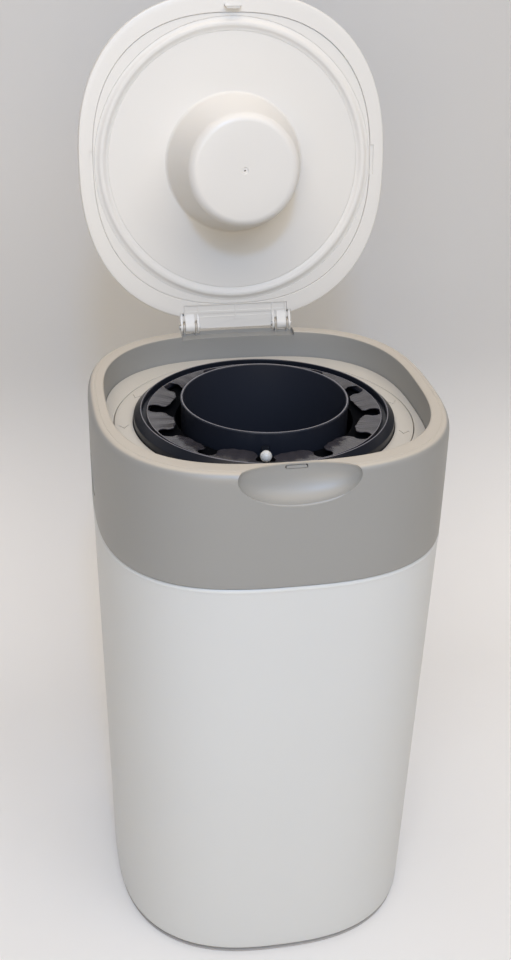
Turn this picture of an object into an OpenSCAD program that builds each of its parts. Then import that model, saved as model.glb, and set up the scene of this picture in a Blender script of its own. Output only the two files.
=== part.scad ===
/* [Body] */
// Width of the head, side to side
body_w = 245; // [240:1:250]
// Depth of the head, front to back
body_d = 248; // [244:1:252]
// Height of the head's rim above the floor
rim_z = 416; // [410:1:430]
// Height of the seam between the tub and the head
seam_z = 332; // [328:1:334]
// Width of the tub at its foot
foot_w = 230; // [225:1:238]
// Depth of the tub at its foot, front to back
foot_d = 241; // [230:1:246]
// Wall thickness of the moulded shells
wall = 2.5; // [2:0.1:3]

/* [Lid] */
// Width of the lid
lid_w = 231; // [226:1:232]
// Length of the lid from its hinge edge to its front edge
lid_l = 241; // [238:1:242]
// Height of the lid's crown above the rim
lid_rise = 16; // [14:1:20]
// Angle between the closed lid and the open lid
lid_open = 98; // [0:1:100]
// Diameter of the plunger where it meets the lid
plunger_d = 103; // [100:0.5:108]
// Height of the plunger
plunger_h = 49; // [40:1:54]

/* [Cassette] */
// Outer diameter of the cassette's rim
tray_d = 184; // [182:0.5:185]
// Outer diameter of the film tube's mouth
tube_d = 117.6; // [116:0.2:119]
// Outer diameter of the ring of petals
petal_d = 166; // [165:0.5:167]
// Number of petals in the cover
petals = 12; // [8:1:12]
// Bearing of the cutter's knob from the front, towards the left
knob_angle = 10; // [0:5:45]

/* [Twist ring] */
// Outer diameter of the twist ring
ring_d = 211; // [208:0.5:211]
// Number of teeth that click as the ring turns
teeth = 24; // [12:1:36]

/* [Hidden] */

$fn = 72;
sides = 72;            // straight facets round every oval outline
eps = 0.01;            // a hair, so that cuts pass through their faces

// Outlines: |x/a|^n + |y/b|^n = 1, a rectangle with bowed sides and full corners
head_n = 2.8;
foot_n = 2.6;
lid_n = 2.42;
head_a = body_w / 2;
head_b = body_d / 2;

// Heights in the head
gap = 0.5;                       // half of the line that shows between tub and head
deck_z = rim_z - 21;             // top of the deck and of the twist ring
deck_t = 2.5;
deck_low = deck_z - deck_t;
frame_z = seam_z + 17;           // top of the frame's plate
frame_t = 3;
well_floor_z = frame_z + 1.8;    // underside of the cassette well
tray_floor_z = well_floor_z + deck_t + 0.3;

// The mouth inside the rim: nearer to the rear edge than to the front edge
mouth_a = head_a - 11.5;
mouth_b = head_b - 14;
mouth_y = 2.5;

// Foot
foot_h = 3.5;
foot_a = foot_w / 2;
foot_b = foot_d / 2;

// Lid hinge: its axis runs along X, above the rear edge of the rim
lid_axis_y = head_b - 1;
lid_axis_z = rim_z + 2;
lid_gap = 0.4;                   // between the closed lid and the rim
lid_z = rim_z + lid_gap;         // underside of the closed lid's flange
lid_y = lid_axis_y - 3.5 - lid_l / 2;
flange_a = lid_w / 2 - 10.5;     // inner edge of the lid's flange
flange_b = lid_l / 2 - 14;
liner_gap = 0.4;
liner_z = lid_z + 0.8;           // the liner's face, a little above the flange
liner_t = 2;
leaf_half = 40;
knuckle_x = 36;                  // middle of each of the two hinges
knuckle_r = 4.2;
knuckle_w = 7.2;                 // the leaf's wide knuckle, with a thin lug of the collar on each side
lug_w = 1.4;
disc_w = 1.6;                    // the leaf's outer discs, beyond the lugs
side_gap = 0.3;                  // between a knuckle, a lug and a disc
lug_at = knuckle_w / 2 + side_gap + lug_w / 2;
disc_at = lug_at + lug_w / 2 + side_gap + disc_w / 2;
pin_r = 2;
running = 0.05;                  // radial clearance of a pin in a turning knuckle

// Head hinge: outside the rear wall, at the seam
head_axis_y = head_b + 4.2;
head_axis_z = seam_z;
head_knuckle_r = 4.2;
head_hinge_x = 50;

plunger_r = plunger_d / 2;
screw_at = plunger_r - 3.9;      // circle of the screws that hold the plunger

// Release buttons, one in each side wall
button_z = seam_z + 28;
button_w = 40;
button_h = 28;
button_x = head_a - 0.8;
stem_r = 5;
stem_end = head_a - 19.9;        // inner end of each button's stem

// Cassette
tray_r = tray_d / 2;
rim_top_z = deck_z + 4.8;        // outer edge of the cassette's rim
ridge_z = rim_top_z + 4.3;
ridge_r = tray_r - 5.1;
race_r = ridge_r - 0.8;          // outer wall of the groove that the cutter runs in
race_z = rim_top_z - 0.8;
petal_r = petal_d / 2;
petal_z = rim_top_z + 2.2;
petal_in_r = petal_r - 19;
tube_r = tube_d / 2;
tube_z = rim_z - 3.7;
slot_r = 5;

// Twist ring
ring_r = ring_d / 2;
well_r = tray_r + 4;

// ---------------------------------------------------------------- outlines and lofts

function oval_r(a, b, n, t) = pow(pow(abs(cos(t)) / a, n) + pow(abs(sin(t)) / b, n), -1 / n);

function oval(a, b, n) =
    [for (i = [0 : sides - 1]) let (t = 360 * i / sides, r = oval_r(a, b, n, t)) [r * cos(t), r * sin(t)]];

function ring(a, b, n, z) = [for (p = oval(a, b, n)) [p.x, p.y, z]];

// Triangles between two neighbouring rings of points
function band(k, m) =
    [for (i = [0 : sides - 1])
        let (j = (i + 1) % sides)
        each [[k * sides + i, m * sides + i, m * sides + j], [k * sides + i, m * sides + j, k * sides + j]]];

// Closed solid through a run of rings, capped at both ends
module loft(rings) {
    last = len(rings) - 1;
    polyhedron(
        points = [for (r = rings) each r],
        faces = concat(
            [[for (i = [0 : sides - 1]) i]],
            [for (k = [0 : last - 1]) each band(k, k + 1)],
            [[for (i = [sides - 1 : -1 : 0]) last * sides + i]]),
        convexity = 6);
}

// Closed solid through rings whose last meets its first, like a tyre
module loop(rings) {
    count = len(rings);
    polyhedron(
        points = [for (r = rings) each r],
        faces = [for (k = [0 : count - 1]) each band(k, (k + 1) % count)],
        convexity = 6);
}

module oval_plate(a, b, n, z, h) {
    translate([0, 0, z]) linear_extrude(height = h) polygon(oval(a, b, n));
}

// A ring about the vertical axis with a rectangular section
module washer(r_in, r_out, z, h) {
    rotate_extrude() translate([r_in, z]) square([r_out - r_in, h]);
}

// A profile in the plane of Y and Z, made w thick about x
module side_profile(x, w, points) {
    translate([x - w / 2, 0, 0]) rotate([90, 0, 90]) linear_extrude(height = w) polygon(points);
}

module x_rod(x, w, y, z, r) {
    translate([x - w / 2, y, z]) rotate([0, 90, 0]) cylinder(r = r, h = w);
}

module both_sides() {
    children();
    mirror([1, 0, 0]) children();
}

module at_corners(r) {
    for (t = [45 : 90 : 315]) rotate([0, 0, t]) translate([r, 0, 0]) children();
}

// ---------------------------------------------------------------- tub

function tub_ring(z, inset) =
    let (f = (z - foot_h) / (seam_z - foot_h))
    ring(foot_a + (head_a - 0.5 - foot_a) * f - inset,
         foot_b + (head_b - 0.5 - foot_b) * f - inset,
         foot_n + (head_n - foot_n) * f, z);

tub_top = seam_z - gap;
tub_levels = [for (k = [0 : 4]) 14 + (tub_top - 14) * k / 4];
lug_back = head_axis_y + head_knuckle_r;
lug_profile = [[head_b - 8, seam_z - 22], [head_b - 1, seam_z - 22], [lug_back, seam_z - 5],
               [lug_back, seam_z], [head_b + 0.4, seam_z], [head_b, tub_top], [head_b - 8, tub_top]];

module tub() {
    color("whitesmoke") difference() {
        union() {
            loft(concat(
                [tub_ring(foot_h, 6), tub_ring(foot_h + 1.2, 2.6), tub_ring(foot_h + 4, 0.6)],
                [for (z = tub_levels) tub_ring(z, 0)],
                [for (k = [4 : -1 : 0]) tub_ring(tub_levels[k], wall)],
                [tub_ring(foot_h + 6, wall + 1.5), tub_ring(foot_h + wall, wall + 5)]));
            both_sides() for (dx = [-7, 7]) {
                side_profile(head_hinge_x + dx, 6, lug_profile);
                x_rod(head_hinge_x + dx, 6, head_axis_y, head_axis_z, head_knuckle_r);
            }
        }
        both_sides() x_rod(head_hinge_x, 30, head_axis_y, head_axis_z, pin_r);
        at_corners(90) translate([0, 0, foot_h - 1]) cylinder(r = 1.5, h = wall + 2);
    }
}

module foot_plate() {
    color("gray") difference() {
        oval_plate(foot_a - 3.5, foot_b - 3.5, foot_n, 0, foot_h);
        at_corners(90) {
            translate([0, 0, -eps]) cylinder(r = 1.8, h = foot_h + 1);
            translate([0, 0, -eps]) cylinder(r = 4.2, h = 2);
        }
    }
}

module foot_screws() {
    color("silver") at_corners(90) {
        translate([0, 0, 0.4]) cylinder(r = 3.8, h = 1.59);
        translate([0, 0, 1]) cylinder(r = 1.5, h = foot_h + wall - 1);
    }
}

module head_hinge_pins() {
    color("silver") both_sides() {
        x_rod(head_hinge_x, 21, head_axis_y, head_axis_z, pin_r);
        x_rod(head_hinge_x + 11, 1.6, head_axis_y, head_axis_z, pin_r + 1.2);
    }
}

// Inside of the tub's side wall at a height
function tub_inside(z) = foot_a + (head_a - 0.5 - foot_a) * (z - foot_h) / (seam_z - foot_h) - wall - 0.06;

strike_z = seam_z - 18;          // underside of the ledge that the hook catches
strike_x = tub_inside(strike_z) - 3.8;

module strike_plates() {
    low = seam_z - 30;
    top = seam_z - 4;
    color("silver") both_sides() translate([0, 9, 0]) rotate([90, 0, 0]) linear_extrude(height = 18)
        polygon([[tub_inside(low) - 2, low], [tub_inside(low), low], [tub_inside(top), top],
                 [tub_inside(top) - 2, top], [tub_inside(strike_z) - 2, strike_z + 4],
                 [strike_x, strike_z + 4], [strike_x, strike_z], [tub_inside(strike_z) - 2, strike_z]]);
}

// ---------------------------------------------------------------- head

head_foot = seam_z + gap;

function head_ring(inset, z) = ring(head_a - inset, head_b - inset, head_n, z);

function mouth_ring(outset, z) =
    [for (p = ring(mouth_a + outset, mouth_b + outset, head_n, z)) p + [0, mouth_y, 0]];

// Inside of the mouth, cut a little way into its wall
module mouth_prism(z, h) {
    translate([0, mouth_y, 0]) oval_plate(mouth_a + 1.2, mouth_b + 1.2, head_n, z, h);
}

// Solid of the head's outside, set in by a little, for the thick places in the collar
module head_core() {
    loft([head_ring(0.9, head_foot), head_ring(0.9, rim_z - 5), head_ring(4, rim_z - 1)]);
}

scoop_half = 40.5;
scoop_depth = 14;
scoop_h = 19;
scoop_z = rim_z - 4.5;
notch_half = 44.5;
notch_z = rim_z - 7.5;
post_r = 5;
post_at = head_a - 8;
recess_w = 2 * disc_at + disc_w + 0.8;   // room in the rear wall for one of the lid's hinges
knuckle_profile = [[head_b - 7.5, seam_z + 1], [head_axis_y, seam_z + 1], [lug_back, seam_z],
                   [lug_back, seam_z + 3], [head_b, seam_z + 20], [head_b - 4.5, seam_z + 20],
                   [head_b - 4.5, seam_z + 12], [head_b - 7.5, seam_z + 12]];

module collar_shell() {
    loop([head_ring(0.3, head_foot), head_ring(0, head_foot + 40), head_ring(0, rim_z - 5),
          head_ring(0.9, rim_z - 1.8), head_ring(3, rim_z),
          mouth_ring(0.6, rim_z), mouth_ring(0, rim_z - 0.6), mouth_ring(0, deck_z - 4),
          mouth_ring(wall, deck_z - 4), mouth_ring(wall, rim_z - wall),
          head_ring(wall + 0.6, rim_z - wall), head_ring(wall, rim_z - 5),
          head_ring(wall, head_foot + 40), head_ring(wall + 0.3, head_foot)]);
}

module button_hole(outset, x, w) {
    translate([x, 0, button_z]) rotate([90, 0, 90]) linear_extrude(height = w)
        polygon(oval(button_w / 2 + outset, button_h / 2 + outset, 2));
}

module collar() {
    color("darkgray") difference() {
        union() {
            collar_shell();
            // thick wall behind the scoop
            difference() {
                intersection() {
                    head_core();
                    translate([-scoop_half - 4, -head_b, scoop_z - scoop_h - 3])
                        cube([2 * scoop_half + 8, 22, scoop_h + 7]);
                }
                mouth_prism(scoop_z - scoop_h - 4, 40);
            }
            // thick wall under the lid hinge
            difference() {
                intersection() {
                    head_core();
                    translate([-notch_half - 3, head_b - 24, notch_z - 3]) cube([2 * notch_half + 6, 22, 9]);
                }
                mouth_prism(notch_z - 4, 40);
            }
            // posts that the frame is screwed to, with a round ledge under each corner of the deck
            at_corners(post_at) translate([0, 0, frame_z]) cylinder(r = post_r, h = deck_low - frame_z - 1);
            at_corners(post_at + 2.5) translate([0, 0, deck_low - 3.2]) cylinder(r = 9, h = 3.2);
            // knuckles of the head hinge
            both_sides() {
                side_profile(head_hinge_x, 7.2, knuckle_profile);
                x_rod(head_hinge_x, 7.2, head_axis_y, head_axis_z, head_knuckle_r);
            }
        }
        scoop_bowl();
        translate([-notch_half, head_b - 24, notch_z]) cube([2 * notch_half, 19.4, 30]);
        both_sides() translate([knuckle_x - recess_w / 2, head_b - 8, lid_axis_z - knuckle_r - 0.6])
            cube([recess_w, 12, 20]);
        latch_slit();
        both_sides() {
            button_hole(0, head_a - 10, 12);
            x_rod(head_hinge_x, 30, head_axis_y, head_axis_z, pin_r + running);
        }
        at_corners(post_at) translate([0, 0, frame_z - 1]) cylinder(r = 1.5, h = 12);
    }
    color("darkgray") lid_lugs();
}

function scoop_ring(y, f) =
    [for (i = [0 : sides - 1]) let (t = 360 * (i + 0.5) / sides)
        [scoop_half * f * sin(t), y, scoop_z + scoop_h * f * cos(t)]];

// Half of an ellipsoid, open towards the front, that is cut out for the fingers
module scoop_bowl() {
    loft(concat([scoop_ring(-head_b - 6, 1)],
                [for (t = [0 : 12 : 84]) scoop_ring(-head_b + 1 + scoop_depth * sin(t), cos(t))]));
}

// Thin slit round three sides of the springy tab that the lid's latch clicks behind
module latch_slit() {
    translate([0, -head_b + 12, rim_z - 4.4]) {
        translate([-7, 0, 2.2]) cube([14, 8, 0.8]);
        both_sides() translate([6.2, 0, 0]) cube([0.8, 8, 3]);
    }
}

lid_lug_profile = [[lid_axis_y - 4, notch_z - 1], [lid_axis_y - 1, notch_z - 1],
                   [lid_axis_y + knuckle_r - 0.4, rim_z - 1], [lid_axis_y + knuckle_r, lid_axis_z],
                   [lid_axis_y - knuckle_r, lid_axis_z], [lid_axis_y - knuckle_r, rim_z - 4]];

// The four thin lugs on the rear wall that carry the lid's hinge pins
module lid_lugs() {
    both_sides() for (dx = [-lug_at, lug_at]) difference() {
        union() {
            side_profile(knuckle_x + dx, lug_w, lid_lug_profile);
            x_rod(knuckle_x + dx, lug_w, lid_axis_y, lid_axis_z, knuckle_r);
        }
        x_rod(knuckle_x + dx, lug_w + 1, lid_axis_y, lid_axis_z, pin_r);
    }
}

module lid_hinge_pins() {
    color("silver") both_sides() x_rod(knuckle_x, 16, lid_axis_y, lid_axis_z, pin_r);
}

module deck() {
    color("antiquewhite") difference() {
        translate([0, mouth_y, 0])
            oval_plate(mouth_a - 0.2, mouth_b - 0.2, head_n, deck_low, deck_t);
        translate([0, 0, deck_z - 10]) cylinder(r = ring_r + 0.5, h = 20);
    }
}

frame_hole = 72;
guide_x = 103;
hook_x = head_a - 11;

module head_frame() {
    color("gainsboro") difference() {
        union() {
            oval_plate(head_a - wall - 0.6, head_b - wall - 0.6, head_n, frame_z - frame_t, frame_t);
            both_sides() translate([guide_x, -9, frame_z - 1]) cube([4, 18, button_z - frame_z + 9]);
        }
        translate([0, 0, frame_z - 10]) cylinder(r = frame_hole, h = 20);
        both_sides() {
            x_rod(guide_x + 2, 6, 0, button_z, stem_r + running);
            translate([hook_x - 5, -8.5, frame_z - 10]) cube([8.5, 17, 20]);
            translate([button_x - 10, -button_w / 2 - 2.5, frame_z - 10]) cube([20, button_w + 5, 20]);
        }
        at_corners(post_at) translate([0, 0, frame_z - 10]) cylinder(r = 1.8, h = 20);
    }
}

module frame_screws() {
    color("silver") at_corners(post_at) {
        translate([0, 0, frame_z - frame_t - 2]) cylinder(r = 3.2, h = 2);
        translate([0, 0, frame_z - frame_t - 0.5]) cylinder(r = 1.5, h = 12);
    }
}

module slip_ring() {
    color("white") washer(80, 88, frame_z, 1.5);
}

grip_r = 42;

module gripper_ring() {
    top = frame_z - frame_t;
    color("lightgray") difference() {
        rotate_extrude()
            polygon([[78, top], [78, top - 3], [64, top - 3], [grip_r + 1, top - 22],
                     [grip_r, top - 20.8], [62, top]]);
        for (t = [15 : 30 : 345]) rotate([0, 0, t]) translate([0, -1.5, top - 30]) cube([61, 3, 26]);
    }
}

pawl_angle = 135;

module click_pawl() {
    color("dimgray") rotate([0, 0, pawl_angle]) {
        translate([well_r + 5, -3, frame_z]) cube([5, 6, 14]);
        translate([well_r + 3.4, -3, frame_z + 4]) cube([1.7, 20, 6]);
        translate([well_r + 2.3, 16, frame_z + 4]) cylinder(r = 1.6, h = 6, $fn = 24);
    }
}

// ---------------------------------------------------------------- release buttons, drawn for the right side

module release_button() {
    color("lightgray") {
        button_hole(-0.4, button_x - 2.8, 2.8);
        button_hole(1.4, button_x - 4.4, 1.6);
        x_rod((stem_end + button_x - 4.4) / 2, button_x - 4.4 - stem_end, 0, button_z, stem_r);
    }
}

module latch_hook() {
    back = button_x - 4.4;
    color("gray") difference() {
        union() {
            translate([back - 2, -7, frame_z + 1]) cube([2, 14, button_z - frame_z + 8]);
            translate([hook_x, -7, frame_z + 1]) cube([back - hook_x, 14, 2]);
            translate([hook_x, -7, strike_z - 3.3]) cube([2, 14, frame_z + 6.3 - strike_z]);
            translate([hook_x, -7, strike_z - 3.3]) cube([strike_x - 0.4 - hook_x, 14, 3]);
        }
        x_rod(back - 2, 10, 0, button_z, stem_r);
    }
}

// Turns of round wire, swept along a helix about X
module button_spring() {
    wire = 0.5;
    coil_r = stem_r + 1.2;
    x_from = guide_x + 4;
    length = button_x - 6.4 - x_from;
    turns = 4;
    steps = 14 * turns;
    color("silver") polyhedron(
        points = [for (k = [0 : steps]) let (t = 360 * turns * k / steps)
            for (i = [0 : 5]) let (r = coil_r + wire * cos(60 * i))
                [x_from + wire + (length - 2 * wire) * k / steps + wire * sin(60 * i),
                 r * cos(t), button_z + r * sin(t)]],
        faces = concat(
            [[for (i = [0 : 5]) i]],
            [for (k = [0 : steps - 1]) for (i = [0 : 5]) let (j = (i + 1) % 6)
                each [[6 * k + i, 6 * k + 6 + i, 6 * k + 6 + j], [6 * k + i, 6 * k + 6 + j, 6 * k + j]]],
            [[for (i = [5 : -1 : 0]) 6 * steps + i]]),
        convexity = 8);
}

module release_button_right() {
    release_button();
}

module latch_hook_right() {
    latch_hook();
}

module button_spring_right() {
    button_spring();
}

module release_button_left() {
    mirror([1, 0, 0]) release_button();
}

module latch_hook_left() {
    mirror([1, 0, 0]) latch_hook();
}

module button_spring_left() {
    mirror([1, 0, 0]) button_spring();
}

// ---------------------------------------------------------------- turntable

module twist_ring() {
    color("antiquewhite") rotate_extrude()
        polygon([[tray_r + 0.6, deck_low], [ring_r - 0.4, deck_low], [ring_r, deck_low + 0.4],
                 [ring_r, deck_z - 0.4], [ring_r - 0.4, deck_z], [tray_r + 0.9, deck_z],
                 [tray_r + 0.6, deck_z - 0.3]]);
}

module cassette_well() {
    h = deck_low - well_floor_z;
    color("gainsboro") {
        washer(66, well_r, well_floor_z, deck_t);
        washer(well_r - 2, well_r, well_floor_z, h);
        for (k = [0 : teeth - 1]) rotate([0, 0, 360 * k / teeth])
            translate([well_r - 0.5, -1.5, well_floor_z]) cube([2.1, 3, 8]);
    }
}

// ---------------------------------------------------------------- cassette

module cassette_tray() {
    color("midnightblue") rotate_extrude()
        polygon([[tube_r + 0.2, tray_floor_z], [tray_r - 1.2, tray_floor_z], [tray_r, tray_floor_z + 1.2],
                 [tray_r, rim_top_z], [ridge_r, ridge_z], [race_r, ridge_z - 0.4], [race_r, race_z],
                 [petal_r - 1.6, race_z], [petal_r - 1.6, race_z - 1.5], [tray_r - 1.8, race_z - 1.5],
                 [tray_r - 1.8, tray_floor_z + 2.2], [tube_r + 0.2, tray_floor_z + 2.2]]);
}

module petal_slot() {
    translate([petal_r - 6, 0, race_z]) cylinder(r = slot_r, h = 10, $fn = 32);
    translate([petal_in_r - 2, -3.8, race_z]) cube([petal_r - 6 - petal_in_r + 2, 7.6, 10]);
    translate([0, 0, race_z]) linear_extrude(height = 10)
        polygon([[petal_in_r - 2, -9.5], [petal_in_r + 2, -7.5], [petal_in_r + 6, -3], [petal_in_r + 6, 3],
                 [petal_in_r + 2, 7.5], [petal_in_r - 2, 9.5]]);
}

module cassette_cover() {
    color("dimgray") difference() {
        union() {
            washer(petal_in_r, petal_r, petal_z - 1.2, 1.2);
            washer(petal_r - 1.2, petal_r, race_z, petal_z - race_z - 0.6);
        }
        for (k = [0 : petals - 1]) rotate([0, 0, 270 - knob_angle + 360 * k / petals]) petal_slot();
    }
}

module funnel_tube() {
    color("midnightblue") rotate_extrude()
        polygon([[tube_r - 1.6, tray_floor_z - 2], [tube_r, tray_floor_z - 2], [tube_r, tray_floor_z + 2.2],
                 [tube_r + 3, tray_floor_z + 2.2], [tube_r + 3, tray_floor_z + 3.7],
                 [tube_r, tray_floor_z + 3.7], [tube_r, tube_z - 0.4], [tube_r - 0.4, tube_z],
                 [tube_r - 1.2, tube_z], [tube_r - 1.6, tube_z - 0.4]]);
}

module film_pack() {
    low = tray_floor_z + 4;
    color("darkslategray") washer(tube_r + 4, petal_r - 2.5, low, race_z - 2.5 - low);
}

// ---------------------------------------------------------------- cutter

module at_knob() {
    rotate([0, 0, 270 - knob_angle]) children();
}

arm_z = petal_z + 0.5;
knob_r = 4;
knob_z = race_z + 9;
race_mid = (petal_r + race_r) / 2;

module cutter_carriage() {
    color("black") at_knob() {
        rotate([0, 0, -8]) rotate_extrude(angle = 16)
            translate([petal_r + 0.4, race_z + 0.3]) square([race_r - petal_r - 0.8, arm_z - race_z + 0.8]);
        translate([tube_r + 1.2, -2.5, arm_z]) cube([race_mid - tube_r - 1.2, 5, 1.1]);
    }
}

module cutter_blade() {
    color("silver") at_knob() translate([tube_r + 1.4, -0.3, arm_z - 4])
        cube([petal_in_r - tube_r - 2.4, 0.6, 4]);
}

module cutter_knob() {
    color("white") at_knob() translate([race_mid, 0, 0]) {
        translate([0, 0, arm_z + 1.1]) cylinder(r = 1.1, h = knob_z - arm_z - 2, $fn = 24);
        translate([0, 0, knob_z]) sphere(r = knob_r, $fn = 32);
    }
}

// ---------------------------------------------------------------- lid, drawn closed and swung open

module lid_pose() {
    translate([0, lid_axis_y, lid_axis_z]) rotate([-lid_open, 0, 0])
        translate([0, -lid_axis_y, -lid_axis_z]) children();
}

function lid_ring(inset, z) =
    [for (p = ring(lid_w / 2 - inset, lid_l / 2 - inset, lid_n, z)) p + [0, lid_y, 0]];

function flange_ring(z) = [for (p = ring(flange_a, flange_b, lid_n, z)) p + [0, lid_y, 0]];

lid_top = rim_z + lid_rise;

module lid_shell() {
    color("white") lid_pose() difference() {
        loft([flange_ring(lid_z + 2), flange_ring(lid_z), lid_ring(0.8, lid_z), lid_ring(0, lid_z + 0.8),
              lid_ring(0.3, lid_top - 6), lid_ring(1.6, lid_top - 3), lid_ring(5, lid_top - 1.2),
              lid_ring(25, lid_top - 0.3), lid_ring(60, lid_top)]);
        loft([lid_ring(wall, lid_z + 2), lid_ring(wall, lid_top - 6), lid_ring(wall + 4, lid_top - 3.4),
              lid_ring(60, lid_top - wall)]);
        translate([-43.5, lid_axis_y - 11.3, lid_z - 1]) cube([87, 16, 5.6]);
        translate([-leaf_half - 0.4, lid_axis_y - 17.2, lid_z - 1]) cube([2 * leaf_half + 0.8, 10, 4]);
    }
}

module lid_liner() {
    tab = 3.6;
    color("white") lid_pose() translate([0, lid_y, 0]) {
        difference() {
            oval_plate(flange_a - liner_gap, flange_b - liner_gap, lid_n, liner_z, liner_t);
            translate([0, 0, liner_z - 1]) cylinder(r = plunger_r - 9, h = liner_t + 2);
            for (t = [30 : 120 : 270]) rotate([0, 0, t]) translate([screw_at, 0, liner_z - 1])
                cylinder(r = 1.5, h = liner_t + 2);
        }
        both_sides() translate([flange_a - 4, -11, lid_z + 2]) cube([4 + tab, 22, 1.5]);
        for (x = [-52, -4, 44]) translate([x - 8, -flange_b - tab + 3, lid_z + 2]) cube([16, 8, 1.5]);
    }
}

// Side of a knuckle and of its arm, which joins the leaf's plate
arm_y = lid_axis_y - 11.2;
arm_profile = [[arm_y, lid_z + 0.8], [lid_axis_y - 2.5, lid_axis_z - 3.3], [lid_axis_y, lid_axis_z],
               [lid_axis_y, lid_z + 4], [arm_y, lid_z + 4]];

// Plate behind the rear of the flange, with ribs, and the knuckles and discs that turn on the pins
module lid_hinge_leaf() {
    color("white") lid_pose() difference() {
        union() {
            translate([-leaf_half, lid_axis_y - 17.5, lid_z + 2]) cube([2 * leaf_half, 12, 2]);
            translate([-43, lid_axis_y - 9, lid_z + 2]) cube([86, 3.8, 2]);
            translate([-leaf_half, lid_axis_y - 12.2, lid_z + 0.5]) cube([2 * leaf_half, 1.8, 2.1]);
            translate([-29.5, lid_axis_y - 7.8, lid_z + 0.6]) cube([59, 6.8, 3.4]);
            for (x = [-leaf_half + 0.8, -29, 0, 29, leaf_half - 0.8])
                translate([x - 0.8, lid_axis_y - 16.5, lid_z + 0.6]) cube([1.6, 11, 2]);
            both_sides() {
                side_profile(knuckle_x, knuckle_w, arm_profile);
                x_rod(knuckle_x, knuckle_w, lid_axis_y, lid_axis_z, knuckle_r);
                for (dx = [-disc_at, disc_at]) {
                    side_profile(knuckle_x + dx, disc_w, arm_profile);
                    x_rod(knuckle_x + dx, disc_w, lid_axis_y, lid_axis_z, knuckle_r);
                }
            }
        }
        both_sides() x_rod(knuckle_x, 20, lid_axis_y, lid_axis_z, pin_r + running);
    }
}

// Points of the plunger's outside, from its base to the middle of its face, set in by a wall
function plunger_side(inset) =
    let (face_r = plunger_r - 10.5, round_r = 7, z_face = liner_z - plunger_h + inset)
    concat(
        [[plunger_r - inset, liner_z], [plunger_r - 1.2 - inset, liner_z - 3]],
        [for (t = [0 : 15 : 90])
            [face_r - round_r + (round_r - inset / 2) * cos(t), z_face + round_r - round_r * sin(t)]],
        [[0, z_face]]);

module plunger() {
    color("white") lid_pose() translate([0, lid_y, 0]) difference() {
        rotate_extrude() polygon(concat(plunger_side(0), [[0, liner_z]]));
        translate([0, 0, 0.1]) rotate_extrude() polygon(concat(plunger_side(5), [[0, liner_z]]));
        for (t = [30 : 120 : 270]) rotate([0, 0, t]) translate([screw_at, 0, liner_z - 8])
            cylinder(r = 1.2, h = 12);
    }
}

module plunger_screws() {
    color("silver") lid_pose() translate([0, lid_y, 0])
        for (t = [30 : 120 : 270]) rotate([0, 0, t]) translate([screw_at, 0, 0]) {
            translate([0, 0, liner_z + liner_t]) cylinder(r = 2.6, h = 1.6);
            translate([0, 0, liner_z - 7]) cylinder(r = 1.2, h = liner_t + 7.5);
        }
}

module lid_seal() {
    color("white") lid_pose() translate([0, lid_y, 0]) rotate_extrude()
        polygon([[95.6, liner_z], [96.5, liner_z - 1.4], [97.7, liner_z - 2], [99.9, liner_z - 2],
                 [101.1, liner_z - 1.4], [102, liner_z]]);
}

module lid_latch() {
    color("white") lid_pose() {
        translate([-6.2, -head_b + 11, lid_z - 5]) cube([12.4, 1.5, 5]);
        translate([-5, -head_b + 12.4, lid_z - 4.6]) cube([10, 1.8, 1.4]);
    }
}

tub();
foot_plate();
foot_screws();
strike_plates();
head_hinge_pins();
collar();
deck();
head_frame();
slip_ring();
gripper_ring();
click_pawl();
frame_screws();
lid_hinge_pins();
button_spring_left();
button_spring_right();
release_button_left();
latch_hook_left();
release_button_right();
latch_hook_right();
twist_ring();
cassette_well();
cassette_tray();
cassette_cover();
funnel_tube();
film_pack();
cutter_carriage();
cutter_blade();
cutter_knob();
lid_shell();
lid_liner();
lid_hinge_leaf();
plunger();
plunger_screws();
lid_seal();
lid_latch();
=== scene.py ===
"""Looks of a nappy bin: tapered tub, tilting head with a twist ring and a film cassette, lid with a plunger.

Every piece is drawn in millimetres, in the frame of the solids, and brought to metres when it is finished.
The lid's pieces are drawn closed and then swung open about the lid's hinge.
"""

import math
import random

import bmesh
import bpy
from mathutils import Matrix, Vector


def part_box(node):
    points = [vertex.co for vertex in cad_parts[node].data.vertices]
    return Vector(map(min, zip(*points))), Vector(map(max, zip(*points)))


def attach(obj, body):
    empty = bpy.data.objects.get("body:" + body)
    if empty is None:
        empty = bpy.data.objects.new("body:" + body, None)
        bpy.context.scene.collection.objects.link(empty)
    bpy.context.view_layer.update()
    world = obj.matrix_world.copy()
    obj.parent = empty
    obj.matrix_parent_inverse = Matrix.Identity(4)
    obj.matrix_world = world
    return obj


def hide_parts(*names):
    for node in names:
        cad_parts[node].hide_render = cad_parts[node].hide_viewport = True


bl_info = {
    "name": "Nappy Bin",
    "version": (1, 0, 0),
    "blender": (4, 5, 0),
    "location": "3D View > Sidebar > Nappy Bin",
    "description": "Dresses the solids of a nappy bin with smooth mouldings and moulded plastics",
    "category": "Add Mesh",
}

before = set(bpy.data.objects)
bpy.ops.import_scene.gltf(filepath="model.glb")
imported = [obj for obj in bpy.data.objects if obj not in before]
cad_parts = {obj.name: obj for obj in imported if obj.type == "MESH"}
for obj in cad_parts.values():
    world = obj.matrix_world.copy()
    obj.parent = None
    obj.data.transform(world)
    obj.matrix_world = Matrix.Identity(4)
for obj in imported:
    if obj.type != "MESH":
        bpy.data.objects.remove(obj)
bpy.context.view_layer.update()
MM = 0.001


def cad_low(node):
    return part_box(node)[0].z / MM


def cad_width(node):
    low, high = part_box(node)
    return (high.x - low.x) / MM


# ---- sizes and colours that a user may change


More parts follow.
